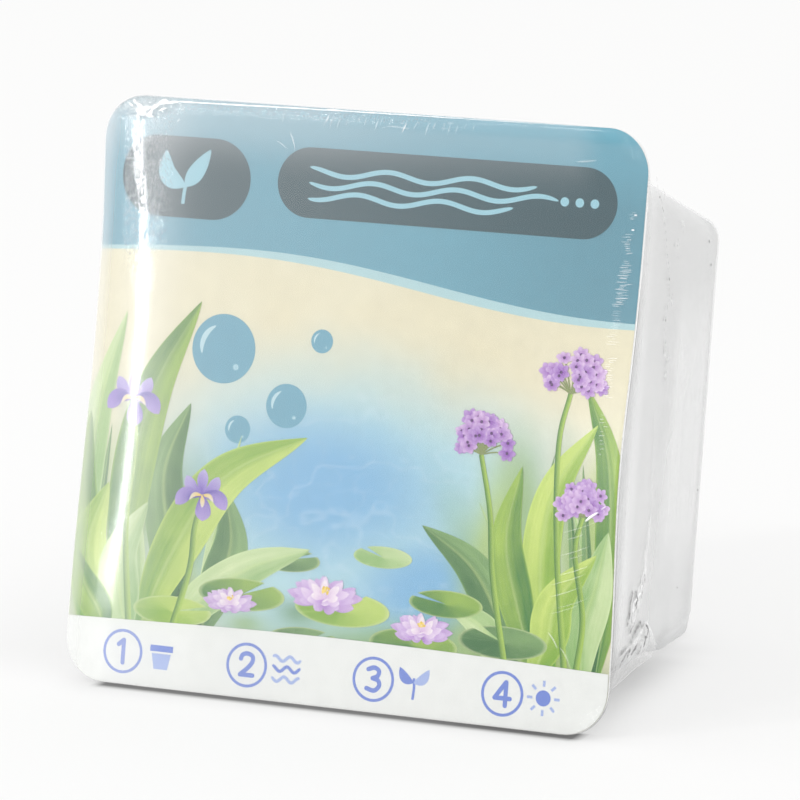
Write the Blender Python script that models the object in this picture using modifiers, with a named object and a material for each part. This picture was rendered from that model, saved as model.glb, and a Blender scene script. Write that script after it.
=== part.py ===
"""Shrink-wrapped water plant kit: a square tapered tub lying on its side, a
printed card over its mouth, and clear shrink film round both.

Metres, +Z up. The pieces are modelled in the package's own frame (u across
the card, v up the card, n out of its face) under one empty, which then leans
the package back until it stands on the film under the card's lower edge and
the film under the tub's base."""

import math

import bmesh
import bpy
import numpy as np
from mathutils import Matrix, Vector

MM = 0.001

# Driving dimensions, in millimetres
CARD_SIDE = 150.0
CARD_CORNER_R = 11.5
CARD_T = 0.5

MOUTH_N = -3.6          # plane of the tub's rim, behind the card's face
MOUTH_HALF = 69.4
MOUTH_R = 14.0
BASE_N = -110.0         # plane of the tub's base
BASE_HALF = 54.3
BASE_R = 6.0
BASE_EDGE_R = 2.4       # rounding between wall and base
TUB_WALL = 1.0
RECESS = 0.9            # the base panel stands this much inside its foot ring
RECESS_INSET = 6.0

GAP = 0.3               # clearance between neighbouring pieces
FILM_T = 0.2
FILM_ON_TUB_N = -34.0   # behind this the film lies on the tub's wall
VENT_R = 0.8
VENTS_U = (-30.0, 0.0, 30.0)
VENT_N = -50.0

LEFT_BEND = 26.0        # width of the margin that the film pulls back, left
RIGHT_BEND = 48.0       # width of the margin that bows, right
TOP_BEND = 4.0

# Stations of the card's grid, from the middle to the edge
STATIONS = (0.0, 12.5, 25.0, 38.0, 50.0, 58.0, 63.5, 66.7, 69.7, 72.5, 75.0)


def clear_scene():
    for obj in list(bpy.data.objects):
        bpy.data.objects.remove(obj, do_unlink=True)


def collection(name):
    made = bpy.data.collections.new(name)
    bpy.context.scene.collection.children.link(made)
    return made


def material(name, colour, roughness, metallic=0.0, alpha=1.0):
    made = bpy.data.materials.new(name)
    made.use_nodes = True
    shader = made.node_tree.nodes["Principled BSDF"]
    shader.inputs["Base Color"].default_value = (*colour, 1.0)
    shader.inputs["Roughness"].default_value = roughness
    shader.inputs["Metallic"].default_value = metallic
    shader.inputs["Alpha"].default_value = alpha
    return made


def smooth(low, high, x):
    t = min(1.0, max(0.0, (x - low) / (high - low)))
    return t * t * (3.0 - 2.0 * t)


def left_pull(v):
    """How far the film pulls the card's left edge back, at height v."""
    return (1.6 + 2.8 * smooth(-62.0, 22.0, v)) * (1.0 - 0.5 * smooth(34.0, 75.0, v))


def right_bow(v):
    """How far the card's right edge bows forward, at height v."""
    width = 32.0 if v > -9.0 else 36.0
    return 3.9 * math.exp(-(((v + 9.0) / width) ** 2))


def card_point(u, v):
    """Where the flat card's point (u, v) lies once the film has bent it."""
    n = 0.0
    shift = 0.0
    s = max(0.0, (-u - (75.0 - LEFT_BEND)) / LEFT_BEND)
    if s:
        a = left_pull(v)
        n -= a * s * s
        shift += 2.0 * a * a * s**3 / (3.0 * LEFT_BEND)
    s = max(0.0, (u - (75.0 - RIGHT_BEND)) / RIGHT_BEND)
    if s:
        a = right_bow(v)
        n += a * s * s
        shift -= 2.0 * a * a * s**3 / (3.0 * RIGHT_BEND)
    s = max(0.0, (v - (75.0 - TOP_BEND)) / TOP_BEND)
    n -= 0.8 * s * s
    return u + shift, v, n


def to_rounded(u, v, half, radius):
    """A square's point moved so that its outline gets round corners."""
    inner = half - radius
    a, b = (abs(u) - inner) / radius, (abs(v) - inner) / radius
    if a <= 0.0 or b <= 0.0:
        return u, v
    x = inner + radius * a * math.sqrt(1.0 - b * b / 2.0)
    y = inner + radius * b * math.sqrt(1.0 - a * a / 2.0)
    return math.copysign(x, u), math.copysign(y, v)


def station(i):
    """Signed station of grid line i, from -10 to 10."""
    return math.copysign(STATIONS[abs(i)], i) if i else 0.0


def card_grid(bm, half, radius, lift):
    """The card's bent face as a grid, lift above it. Returns verts by line."""
    last = len(STATIONS) - 1
    scale = half / STATIONS[-1]
    bmesh.ops.create_grid(bm, x_segments=2 * last, y_segments=2 * last, size=1.0)
    grid = {}
    for vert in bm.verts:
        i, j = round(vert.co.x * last), round(vert.co.y * last)
        u, v = to_rounded(station(i) * scale, station(j) * scale, half, radius)
        x, y, n = card_point(u, v)
        vert.co = Vector((x, y, n + lift))
        grid[i, j] = vert
    return grid


def outline_keys():
    """Grid lines round the card's outline, anticlockwise seen from the front."""
    last = len(STATIONS) - 1
    keys = [(last, j) for j in range(-last, last)]
    keys += [(i, last) for i in range(last, -last, -1)]
    keys += [(-last, j) for j in range(last, -last, -1)]
    keys += [(i, -last) for i in range(-last, last)]
    return keys


def ring_point(key, half, radius):
    """The same place of the outline on a rounded square of another size."""
    u, v = station(key[0]), station(key[1])
    edge, inner = STATIONS[-1], STATIONS[-1] - CARD_CORNER_R
    a, b = abs(u), abs(v)
    if a > inner and b > inner:
        x, y = to_rounded(a, b, edge, CARD_CORNER_R)
        angle = math.atan2(y - inner, x - inner)
        x = half - radius + radius * math.cos(angle)
        y = half - radius + radius * math.sin(angle)
    elif a >= edge:
        x, y = half, b / inner * (half - radius)
    else:
        x, y = a / inner * (half - radius), half
    return math.copysign(x, u), math.copysign(y, v)


def tub_section(n):
    """Half side and corner radius of the tub's outside at depth n."""
    t = (n - MOUTH_N) / (BASE_N - MOUTH_N)
    return MOUTH_HALF + (BASE_HALF - MOUTH_HALF) * t, MOUTH_R + (BASE_R - MOUTH_R) * t


def rounded_square(half, radius, steps=8):
    points = []
    for cx, cy, start in ((1, 1, 0), (-1, 1, 90), (-1, -1, 180), (1, -1, 270)):
        for k in range(steps + 1):
            angle = math.radians(start + 90.0 * k / steps)
            points.append(
                (
                    cx * (half - radius) + radius * math.cos(angle),
                    cy * (half - radius) + radius * math.sin(angle),
                )
            )
    return points


def bridge(bm, first, second):
    for k in range(len(first)):
        m = (k + 1) % len(first)
        bm.faces.new((first[k], second[k], second[m], first[m]))


def base_profile(offset):
    """(n, half, radius) from the wall round the base's edge, offset outward."""
    r = BASE_EDGE_R
    found = []
    for step in range(5):
        angle = math.radians(90.0 * step / 4)
        n = BASE_N + r - (r + offset) * math.sin(angle)
        half, radius = tub_section(max(n, BASE_N))
        inset = (r + offset) * (1.0 - math.cos(angle))
        found.append((n, half + offset - inset, max(radius + offset - inset, 2.0)))
    return found


def face_out(bm):
    """Turns every face so that the whole surface looks away from its middle."""
    bmesh.ops.recalc_face_normals(bm, faces=bm.faces)
    bm.normal_update()
    middle = sum((v.co for v in bm.verts), Vector()) / len(bm.verts)
    facing = sum((f.calc_center_median() - middle).dot(f.normal) * f.calc_area() for f in bm.faces)
    if facing < 0.0:
        bmesh.ops.reverse_faces(bm, faces=bm.faces)


def put(name, bm, group, look, parent):
    mesh = bpy.data.meshes.new(name)
    bm.to_mesh(mesh)
    bm.free()
    obj = bpy.data.objects.new(name, mesh)
    mesh.transform(Matrix.Scale(MM, 4))
    mesh.shade_smooth()
    mesh.set_sharp_from_angle(angle=math.radians(35))
    obj.data.materials.append(look)
    group.objects.link(obj)
    obj.parent = parent
    return obj


def solidify(obj, thickness, offset):
    made = obj.modifiers.new("Thickness", "SOLIDIFY")
    made.thickness = thickness * MM
    made.offset = offset
    return made


def make_card(group, parent):
    bm = bmesh.new()
    card_grid(bm, CARD_SIDE / 2, CARD_CORNER_R, 0.0)
    obj = put("card", bm, group, material("card_board", (0.72, 0.80, 0.80), 0.45), parent)
    solidify(obj, CARD_T, -1.0)
    return obj


def make_tub(group, parent):
    """Outer wall and base as an open loft, thickened inwards."""
    bm = bmesh.new()
    levels = [(MOUTH_N, MOUTH_HALF, MOUTH_R)]
    levels += [(n, *tub_section(n)) for n in (-30.0, -58.0, -84.0)]
    levels += base_profile(0.0)
    rings = []
    for n, half, radius in levels:
        rings.append([bm.verts.new((x, y, n)) for x, y in rounded_square(half, radius)])
    for first, second in zip(rings, rings[1:]):
        bridge(bm, first, second)
    base = bm.faces.new(rings[-1])
    bm.normal_update()
    bmesh.ops.inset_region(bm, faces=[base], thickness=RECESS_INSET, depth=0.0)
    bmesh.ops.inset_region(bm, faces=[base], thickness=1.2, depth=0.0)
    for vert in base.verts:
        vert.co.z += RECESS
    face_out(bm)
    obj = put("tub", bm, group, material("tub_plastic", (0.80, 0.80, 0.80), 0.4), parent)
    solidify(obj, TUB_WALL, -1.0)
    return obj


def film_levels():
    """(n, half, radius, share of the card's bend) down the film's sides."""
    levels = [
        (0.05, 75.30, 11.80, 1.0),
        (-0.60, 75.35, 11.85, 1.0),
        (-1.60, 74.80, 11.70, 1.0),
    ]
    start = 74.80
    for n in (-6.0, -11.0, -17.0, -25.0, FILM_ON_TUB_N):
        t = (n - FILM_ON_TUB_N) / (-1.60 - FILM_ON_TUB_N)
        half, radius = tub_section(n)
        lead = start - tub_section(-1.60)[0] - GAP
        share = t**1.55
        levels.append(
            (n, half + GAP + lead * share, radius + GAP + (11.7 - radius) * share, share)
        )
    for n in (-58.0, -84.0):
        half, radius = tub_section(n)
        levels.append((n, half + GAP, radius + GAP, 0.0))
    levels += [(n, half, radius, 0.0) for n, half, radius in base_profile(GAP)]
    return levels


def make_film(group, cutters, parent):
    """One closed skin round card and tub, thickened outwards, with vents."""
    bm = bmesh.new()
    grid = card_grid(bm, 74.9, 11.4, GAP)
    keys = outline_keys()
    previous = [grid[key] for key in keys]
    for n, half, radius, share in film_levels():
        ring = []
        for key in keys:
            x, y = ring_point(key, half, radius)
            flat_u, flat_v = ring_point(key, CARD_SIDE / 2, CARD_CORNER_R)
            bent_u, _, bent_n = card_point(flat_u, flat_v)
            ring.append(
                bm.verts.new((x + share * (bent_u - flat_u), y, n + share * bent_n))
            )
        bridge(bm, previous, ring)
        previous = ring
    bm.faces.new(previous)
    face_out(bm)
    obj = put(
        "shrink_film", bm, group, material("clear_film", (0.95, 0.95, 0.95), 0.08, alpha=0.3), parent
    )
    solidify(obj, FILM_T, 1.0)
    top = tub_section(VENT_N)[0]
    for k, u in enumerate(VENTS_U):
        vent = bmesh.new()
        bmesh.ops.create_cone(
            vent, cap_ends=True, segments=12, radius1=VENT_R, radius2=VENT_R, depth=1.0
        )
        bmesh.ops.rotate(
            vent, verts=vent.verts, matrix=Matrix.Rotation(math.pi / 2, 3, "X")
        )
        bmesh.ops.translate(vent, verts=vent.verts, vec=(u, top + GAP, VENT_N))
        cutter = put(f"vent_{k}", vent, cutters, material(f"cut_{k}", (1, 0, 0), 0.5), parent)
        cutter.hide_render = True
        cutter.display_type = "WIRE"
        cut = obj.modifiers.new(f"Vent {k}", "BOOLEAN")
        cut.operation = "DIFFERENCE"
        cut.object = cutter
    return obj


def settle(frame, film):
    """Leans the package until its front and back edges both meet the floor, with the middle of its footprint at the origin."""
    bpy.context.view_layer.update()
    seen = film.evaluated_get(bpy.context.evaluated_depsgraph_get())
    mesh = seen.to_mesh()
    points = np.array([vert.co[:] for vert in mesh.vertices])
    seen.to_mesh_clear()
    front, back = points[:, 2] > -0.02, points[:, 2] < -0.09

    def placed(lean):
        s, c = math.sin(lean), math.cos(lean)
        return points[:, 1] * s - points[:, 2] * c, points[:, 1] * c + points[:, 2] * s

    low, high = math.radians(5.0), math.radians(18.0)
    for _ in range(60):
        lean = (low + high) / 2
        _, z = placed(lean)
        if z[front].min() < z[back].min():
            low = lean
        else:
            high = lean
    y, z = placed(lean)
    x = points[:, 0]
    frame.rotation_euler = (math.pi / 2 - lean, 0.0, 0.0)
    frame.location = (-(x.min() + x.max()) / 2, -(y.min() + y.max()) / 2, -z.min())


def main():
    clear_scene()
    group = collection("plant_kit_package")
    cutters = collection("cutters")
    frame = bpy.data.objects.new("package_frame", None)
    group.objects.link(frame)
    make_card(group, frame)
    make_tub(group, frame)
    film = make_film(group, cutters, frame)
    settle(frame, film)


main()
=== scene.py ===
"""Looks of the shrink-wrapped plant package: tub, printed card and film.

Shapes are worked out in the package's own frame, in millimetres (u across the
card, v up the card, n out of its face), and then placed with package()."""

import math

import bpy
import numpy as np
from mathutils import Matrix, Vector


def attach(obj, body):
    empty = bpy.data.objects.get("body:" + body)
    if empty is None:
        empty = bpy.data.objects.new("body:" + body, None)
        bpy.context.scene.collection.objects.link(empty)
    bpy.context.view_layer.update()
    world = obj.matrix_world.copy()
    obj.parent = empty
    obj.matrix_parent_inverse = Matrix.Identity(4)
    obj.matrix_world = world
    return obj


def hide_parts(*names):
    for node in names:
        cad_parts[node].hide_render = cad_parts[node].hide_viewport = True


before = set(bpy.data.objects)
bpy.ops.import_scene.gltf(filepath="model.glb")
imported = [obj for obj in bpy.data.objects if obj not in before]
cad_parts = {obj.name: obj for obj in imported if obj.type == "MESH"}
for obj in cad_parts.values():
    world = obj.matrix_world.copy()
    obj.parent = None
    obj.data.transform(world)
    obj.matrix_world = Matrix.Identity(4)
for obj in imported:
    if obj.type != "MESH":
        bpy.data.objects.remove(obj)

# ------------------------------------------------------------------ the frame
LEAN = math.radians(10.848257180658855)
PLACE = np.array([-0.03313, -51.81421, 74.4098])
SIN, COS = math.sin(LEAN), math.cos(LEAN)

CARD_HALF, CARD_R, CARD_T = 75.0, 11.5, 0.5
MOUTH_N, MOUTH_HALF, MOUTH_R = -3.6, 69.4, 14.0
BASE_N, BASE_HALF, BASE_R, BASE_EDGE_R = -110.0, 54.3, 6.0, 2.4
FILM_ON_TUB_N = -34.0
FILM_OFF = 0.40  # the film's visible skin, outside the card and the tub


def package(u, v, n):
    """Package millimetres to metres in the row frame, as an (N, 3) array."""
    u, v, n = (np.asarray(x, float).ravel() for x in np.broadcast_arrays(u, v, n))
    return (
        np.stack([PLACE[0] + u, PLACE[1] + v * SIN - n * COS, PLACE[2] + v * COS + n * SIN], -1)
        / 1000.0
    )


def floor_v(n):
    """The height up the card at which depth n meets the floor."""
    return -(PLACE[2] + n * SIN) / COS


def smooth(low, high, x):
    t = np.clip((np.asarray(x, float) - low) / (high - low), 0.0, 1.0)
    return t * t * (3.0 - 2.0 * t)


def mix(a, b, t):
    t = np.asarray(t, float)
    if np.ndim(a) and np.shape(a)[-1] == 3 or np.ndim(b) and np.shape(b)[-1] == 3:
        t = t[..., None]
    return a + (b - a) * t


def left_pull(v):
    return (1.6 + 2.8 * smooth(-62.0, 22.0, v)) * (1.0 - 0.5 * smooth(34.0, 75.0, v))


def right_bow(v):
    width = np.where(np.asarray(v) > -9.0, 32.0, 36.0)
    return 3.9 * np.exp(-(((v + 9.0) / width) ** 2))


def card_point(u, v):
    """Where the flat card's point (u, v) lies once the film has bent it."""
    u, v = np.asarray(u, float), np.asarray(v, float)
    s = np.maximum(0.0, (-u - 49.0) / 26.0)
    a = left_pull(v)
    n = -a * s * s
    shift = 2.0 * a * a * s**3 / 78.0
    s = np.maximum(0.0, (u - 27.0) / 48.0)
    a = right_bow(v)
    n = n + a * s * s
    shift = shift - 2.0 * a * a * s**3 / 144.0
    s = np.maximum(0.0, (v - 71.0) / 4.0)
    n = n - 0.8 * s * s
    return u + shift, v, n


def to_rounded(u, v, half, radius):
    """A square's points moved so that its outline gets round corners."""
    inner = half - radius
    a, b = (np.abs(u) - inner) / radius, (np.abs(v) - inner) / radius
    corner = (a > 0) & (b > 0)
    a, b = np.clip(a, 0, 1), np.clip(b, 0, 1)
    x = np.where(corner, inner + radius * a * np.sqrt(1 - b * b / 2), np.abs(u))
    y = np.where(corner, inner + radius * b * np.sqrt(1 - a * a / 2), np.abs(v))
    return np.copysign(x, u), np.copysign(y, v)


def tub_section(n):
    t = (n - MOUTH_N) / (BASE_N - MOUTH_N)
    return MOUTH_HALF + (BASE_HALF - MOUTH_HALF) * t, MOUTH_R + (BASE_R - MOUTH_R) * t


def base_profile(offset, steps):
    """(n, half, radius) from the wall round the base's edge, offset outward."""
    r, found = BASE_EDGE_R, []
    for step in range(steps + 1):
        angle = math.radians(90.0 * step / steps)
        n = BASE_N + r - (r + offset) * math.sin(angle)
        half, radius = tub_section(max(n, BASE_N))
        inset = (r + offset) * (1.0 - math.cos(angle))
        found.append((n, half + offset - inset, max(radius + offset - inset, 2.0)))
    return found


# ------------------------------------------------------------------ noise
class Lattice:
    """Smooth repeatable value noise over a plane, from -1 to 1."""

    def __init__(self, seed):
        self.g = np.random.default_rng(seed).uniform(-1, 1, (128, 128))

    def __call__(self, x, y):
        x, y = np.asarray(x, float), np.asarray(y, float)
        i, j = np.floor(x), np.floor(y)
        a, b = x - i, y - j
        a, b = a * a * (3 - 2 * a), b * b * (3 - 2 * b)
        i, j = i.astype(int), j.astype(int)
        g = self.g
        p = g[i % 128, j % 128] * (1 - a) + g[(i + 1) % 128, j % 128] * a
        q = g[i % 128, (j + 1) % 128] * (1 - a) + g[(i + 1) % 128, (j + 1) % 128] * a
        return p * (1 - b) + q * b


def fbm(x, y, seed, octaves=4):
    total, size, weight = 0.0, 1.0, 0.0
    for k in range(octaves):
        total = total + Lattice(seed * 17 + k)(x * 2**k + 3.7 * k, y * 2**k + 9.1 * k) * size
        weight += size
        size *= 0.5
    return total / weight


def ridged(x, y, seed, octaves=3):
    """Sharp creases: 1 on the crease lines, falling to 0 between them."""
    total, size, weight = 0.0, 1.0, 0.0
    for k in range(octaves):
        total = total + (1 - np.abs(Lattice(seed * 31 + k)(x * 1.9**k + 5 * k, y * 1.9**k - 4 * k))) ** 2 * size
        weight += size
        size *= 0.5
    return total / weight


# ------------------------------------------------------------------ meshes
def build(name, verts, faces, pkg=None, colours=None, values=None, smooth_shade=True):
    """A mesh piece from arrays. verts are metres in the row frame; pkg is the unbent
    package place in mm that the materials read, and values are more named numbers."""
    mesh = bpy.data.meshes.new(name)
    verts = np.array(verts, float)
    if name != "floor":
        verts[:, 2] = np.maximum(verts[:, 2], 0.00002)  # nothing sinks into the floor
    faces = [np.asarray(f, np.int32) for f in (faces if isinstance(faces, list) else [faces]) if len(f)]
    loops = np.concatenate([f.ravel() for f in faces])
    sizes = np.concatenate([np.full(len(f), f.shape[1], np.int32) for f in faces])
    mesh.vertices.add(len(verts))
    mesh.vertices.foreach_set("co", np.asarray(verts, np.float32).ravel())
    mesh.loops.add(len(loops))
    mesh.loops.foreach_set("vertex_index", loops.astype(np.int32))
    mesh.polygons.add(len(sizes))
    mesh.polygons.foreach_set(
        "loop_start", np.concatenate([[0], np.cumsum(sizes)[:-1]]).astype(np.int32)
    )
    mesh.update(calc_edges=True)
    mesh.validate()
    if smooth_shade:
        mesh.shade_smooth()
    if pkg is not None:
        made = mesh.attributes.new("pkg", "FLOAT_VECTOR", "POINT")
        made.data.foreach_set("vector", np.asarray(pkg, np.float32).ravel())
    if colours is not None:
        full = np.ones((len(verts), 4), np.float32)
        full[:, :3] = np.clip(colours, 0, 1)
        made = mesh.color_attributes.new("Col", "FLOAT_COLOR", "POINT")
        made.data.foreach_set("color", full.ravel())
    for key, value in (values or {}).items():
        made = mesh.attributes.new(key, "FLOAT", "POINT")
        made.data.foreach_set("value", np.asarray(value, np.float32).ravel())
    obj = bpy.data.objects.new(name, mesh)
    bpy.context.scene.collection.objects.link(obj)
    return obj


def quads(index):
    """Faces of a grid of vertex numbers."""
    return np.stack(
        [index[:-1, :-1], index[1:, :-1], index[1:, 1:], index[:-1, 1:]], -1
    ).reshape(-1, 4)


def ring_quads(rows, count, start=0):
    """Faces of rows closed rings of count vertices each, facing outward if the
    rings run anticlockwise seen from the front and go backwards in depth."""
    index = np.arange(rows * count).reshape(rows, count) + start
    index = np.concatenate([index, index[:, :1]], 1)
    a, b, c, d = index[:-1, :-1], index[1:, :-1], index[1:, 1:], index[:-1, 1:]
    return np.stack([a, b, c, d], -1).reshape(-1, 4)


def outline(corner_steps, side_steps):
    """Corner anchors A, normals N and a running length for a rounded square:
    its points are (half - radius) * A + radius * N."""
    anchors, normals = [], []
    corners = [(1, -1), (1, 1), (-1, 1), (-1, -1)]
    for c, (sx, sy) in enumerate(corners):
        for k in range(corner_steps + 1):
            angle = math.radians(-90 + 90 * c + 90 * k / corner_steps)
            anchors.append((sx, sy))
            normals.append((math.cos(angle), math.sin(angle)))
        nx, ny = corners[(c + 1) % 4]
        for k in range(1, side_steps):
            t = k / side_steps
            anchors.append((sx + (nx - sx) * t, sy + (ny - sy) * t))
            normals.append(normals[-1])
    return np.array(anchors, float), np.array(normals, float)


# ------------------------------------------------------------------ materials
def lin(*rgb):
    c = np.array(rgb, float) / 255.0
    return np.where(c <= 0.04045, c / 12.92, ((c + 0.055) / 1.055) ** 2.4)


VEIL = 0.118  # what the film's reflection adds over the print
LIGHT = 1.0


def ink(*rgb):
    """Linear board colour that shows as this sRGB colour under film and light."""
    return np.clip((lin(*rgb) - VEIL) / LIGHT, 0.004, 0.93)


class Nodes:
    """Small helper for building a node tree."""

    def __init__(self, name):
        self.mat = bpy.data.materials.new(name)
        self.mat.use_nodes = True
        self.tree = self.mat.node_tree
        self.tree.nodes.clear()
        self.out = self.add("ShaderNodeOutputMaterial")

    def add(self, kind, **inputs):
        node = self.tree.nodes.new(kind)
        for key, value in inputs.items():
            setattr(node, key, value)
        return node

    def put(self, socket, value):
        if hasattr(value, "is_output") or isinstance(value, bpy.types.NodeSocket):
            self.tree.links.new(value, socket)
        else:
            socket.default_value = value

    def attribute(self, name):
        node = self.add("ShaderNodeAttribute", attribute_name=name)
        return node

    def math(self, operation, a, b=None, c=None, clamp=False):
        node = self.add("ShaderNodeMath", operation=operation, use_clamp=clamp)
        self.put(node.inputs[0], a)
        if b is not None:
            self.put(node.inputs[1], b)
        if c is not None:
            self.put(node.inputs[2], c)
        return node.outputs[0]

    def scaled(self, vector, scale):
        node = self.add("ShaderNodeVectorMath", operation="MULTIPLY")
        self.put(node.inputs[0], vector)
        node.inputs[1].default_value = scale
        return node.outputs[0]

    def noise(self, vector, scale, detail=2.0, roughness=0.5, distortion=0.0):
        node = self.add("ShaderNodeTexNoise")
        node.inputs["Scale"].default_value = scale
        node.inputs["Detail"].default_value = detail
        node.inputs["Roughness"].default_value = roughness
        node.inputs["Distortion"].default_value = distortion
        self.put(node.inputs["Vector"], vector)
        return node.outputs[0]

    def spread(self, value, from_low, from_high, to_low, to_high):
        node = self.add("ShaderNodeMapRange")
        self.put(node.inputs[0], value)
        for k, x in enumerate((from_low, from_high, to_low, to_high)):
            node.inputs[k + 1].default_value = x
        return node.outputs[0]

    def bump(self, height, distance, strength=1.0, normal=None):
        node = self.add("ShaderNodeBump")
        self.put(node.inputs["Height"], height)
        node.inputs["Distance"].default_value = distance
        self.put(node.inputs["Strength"], strength)
        if normal is not None:
            self.put(node.inputs["Normal"], normal)
        return node.outputs[0]

    def tint(self, colour, factor):
        """A colour times a grey factor."""
        node = self.add("ShaderNodeVectorMath", operation="SCALE")
        self.put(node.inputs[0], colour)
        self.put(node.inputs["Scale"], factor)
        return node.outputs[0]

    def shade(self, a, b, factor):
        node = self.add("ShaderNodeMixShader")
        self.put(node.inputs[0], factor)
        self.tree.links.new(a, node.inputs[1])
        self.tree.links.new(b, node.inputs[2])
        return node.outputs[0]

    def finish(self, shader):
        self.tree.links.new(shader, self.out.inputs["Surface"])
        return self.mat


def principled(nodes, colour, roughness, specular=0.5, normal=None):
    node = nodes.add("ShaderNodeBsdfPrincipled")
    nodes.put(node.inputs["Base Color"], colour)
    nodes.put(node.inputs["Roughness"], roughness)
    node.inputs["Specular IOR Level"].default_value = specular
    if normal is not None:
        nodes.put(node.inputs["Normal"], normal)
    return node.outputs[0]


def print_material():
    """Ink on coated board: the print's colours with press grain and mottle."""
    m = Nodes("printed_ink")
    place = m.attribute("pkg").outputs["Vector"]
    grain = m.noise(place, 1.9, 3.0, 0.6)
    mottle = m.noise(place, 0.28, 2.0, 0.5)
    factor = m.math(
        "ADD", m.spread(grain, 0.2, 0.8, -0.045, 0.045), m.spread(mottle, 0.25, 0.75, 0.975, 1.025)
    )
    colour = m.tint(m.attribute("Col").outputs["Color"], factor)
    normal = m.bump(grain, 0.00001, 0.5)
    return m.finish(principled(m, colour, 0.42, 0.3, normal))


def board_material():
    """Bare board: the cream cut edge and the grey-white back with its fibres."""
    m = Nodes("bare_board")
    place = m.attribute("pkg").outputs["Vector"]
    fibres = m.noise(m.scaled(place, (0.5, 2.2, 2.0)), 1.4, 4.0, 0.65)
    flecks = m.noise(place, 3.2, 2.0, 0.5)
    ramp = m.add("ShaderNodeValToRGB")
    ramp.color_ramp.elements[0].position = 0.3
    ramp.color_ramp.elements[0].color = (0.84, 0.83, 0.80, 1)
    ramp.color_ramp.elements[1].position = 0.72
    ramp.color_ramp.elements[1].color = (0.93, 0.925, 0.90, 1)
    m.put(ramp.inputs[0], m.math("ADD", m.math("MULTIPLY", fibres, 0.75), m.math("MULTIPLY", flecks, 0.25)))
    normal = m.bump(fibres, 0.00004, 0.6)
    return m.finish(principled(m, ramp.outputs[0], 0.8, 0.3, normal))


def tub_material():
    """Light grey moulded polypropylene with faint flow marks along its draw."""
    m = Nodes("moulded_plastic")
    place = m.attribute("pkg").outputs["Vector"]
    flow = m.noise(m.scaled(place, (1.0, 1.0, 0.06)), 0.22, 4.0, 0.6)
    cloud = m.noise(place, 0.045, 2.0, 0.5)
    grain = m.noise(place, 4.0, 2.0, 0.5)
    factor = m.math(
        "ADD", m.spread(flow, 0.25, 0.75, -0.030, 0.030), m.spread(cloud, 0.3, 0.7, 0.97, 1.02)
    )
    node = m.add("ShaderNodeRGB")
    node.outputs[0].default_value = (0.77, 0.77, 0.765, 1)
    colour = m.tint(node.outputs[0], factor)
    roughness = m.spread(grain, 0.2, 0.8, 0.36, 0.50)
    normal = m.bump(grain, 0.00002, 0.5)
    through = m.add("ShaderNodeBsdfTranslucent")
    m.put(through.inputs["Color"], colour)
    wall = principled(m, colour, roughness, 0.5, normal)
    return m.finish(m.shade(wall, through.outputs[0], 0.12))


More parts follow.
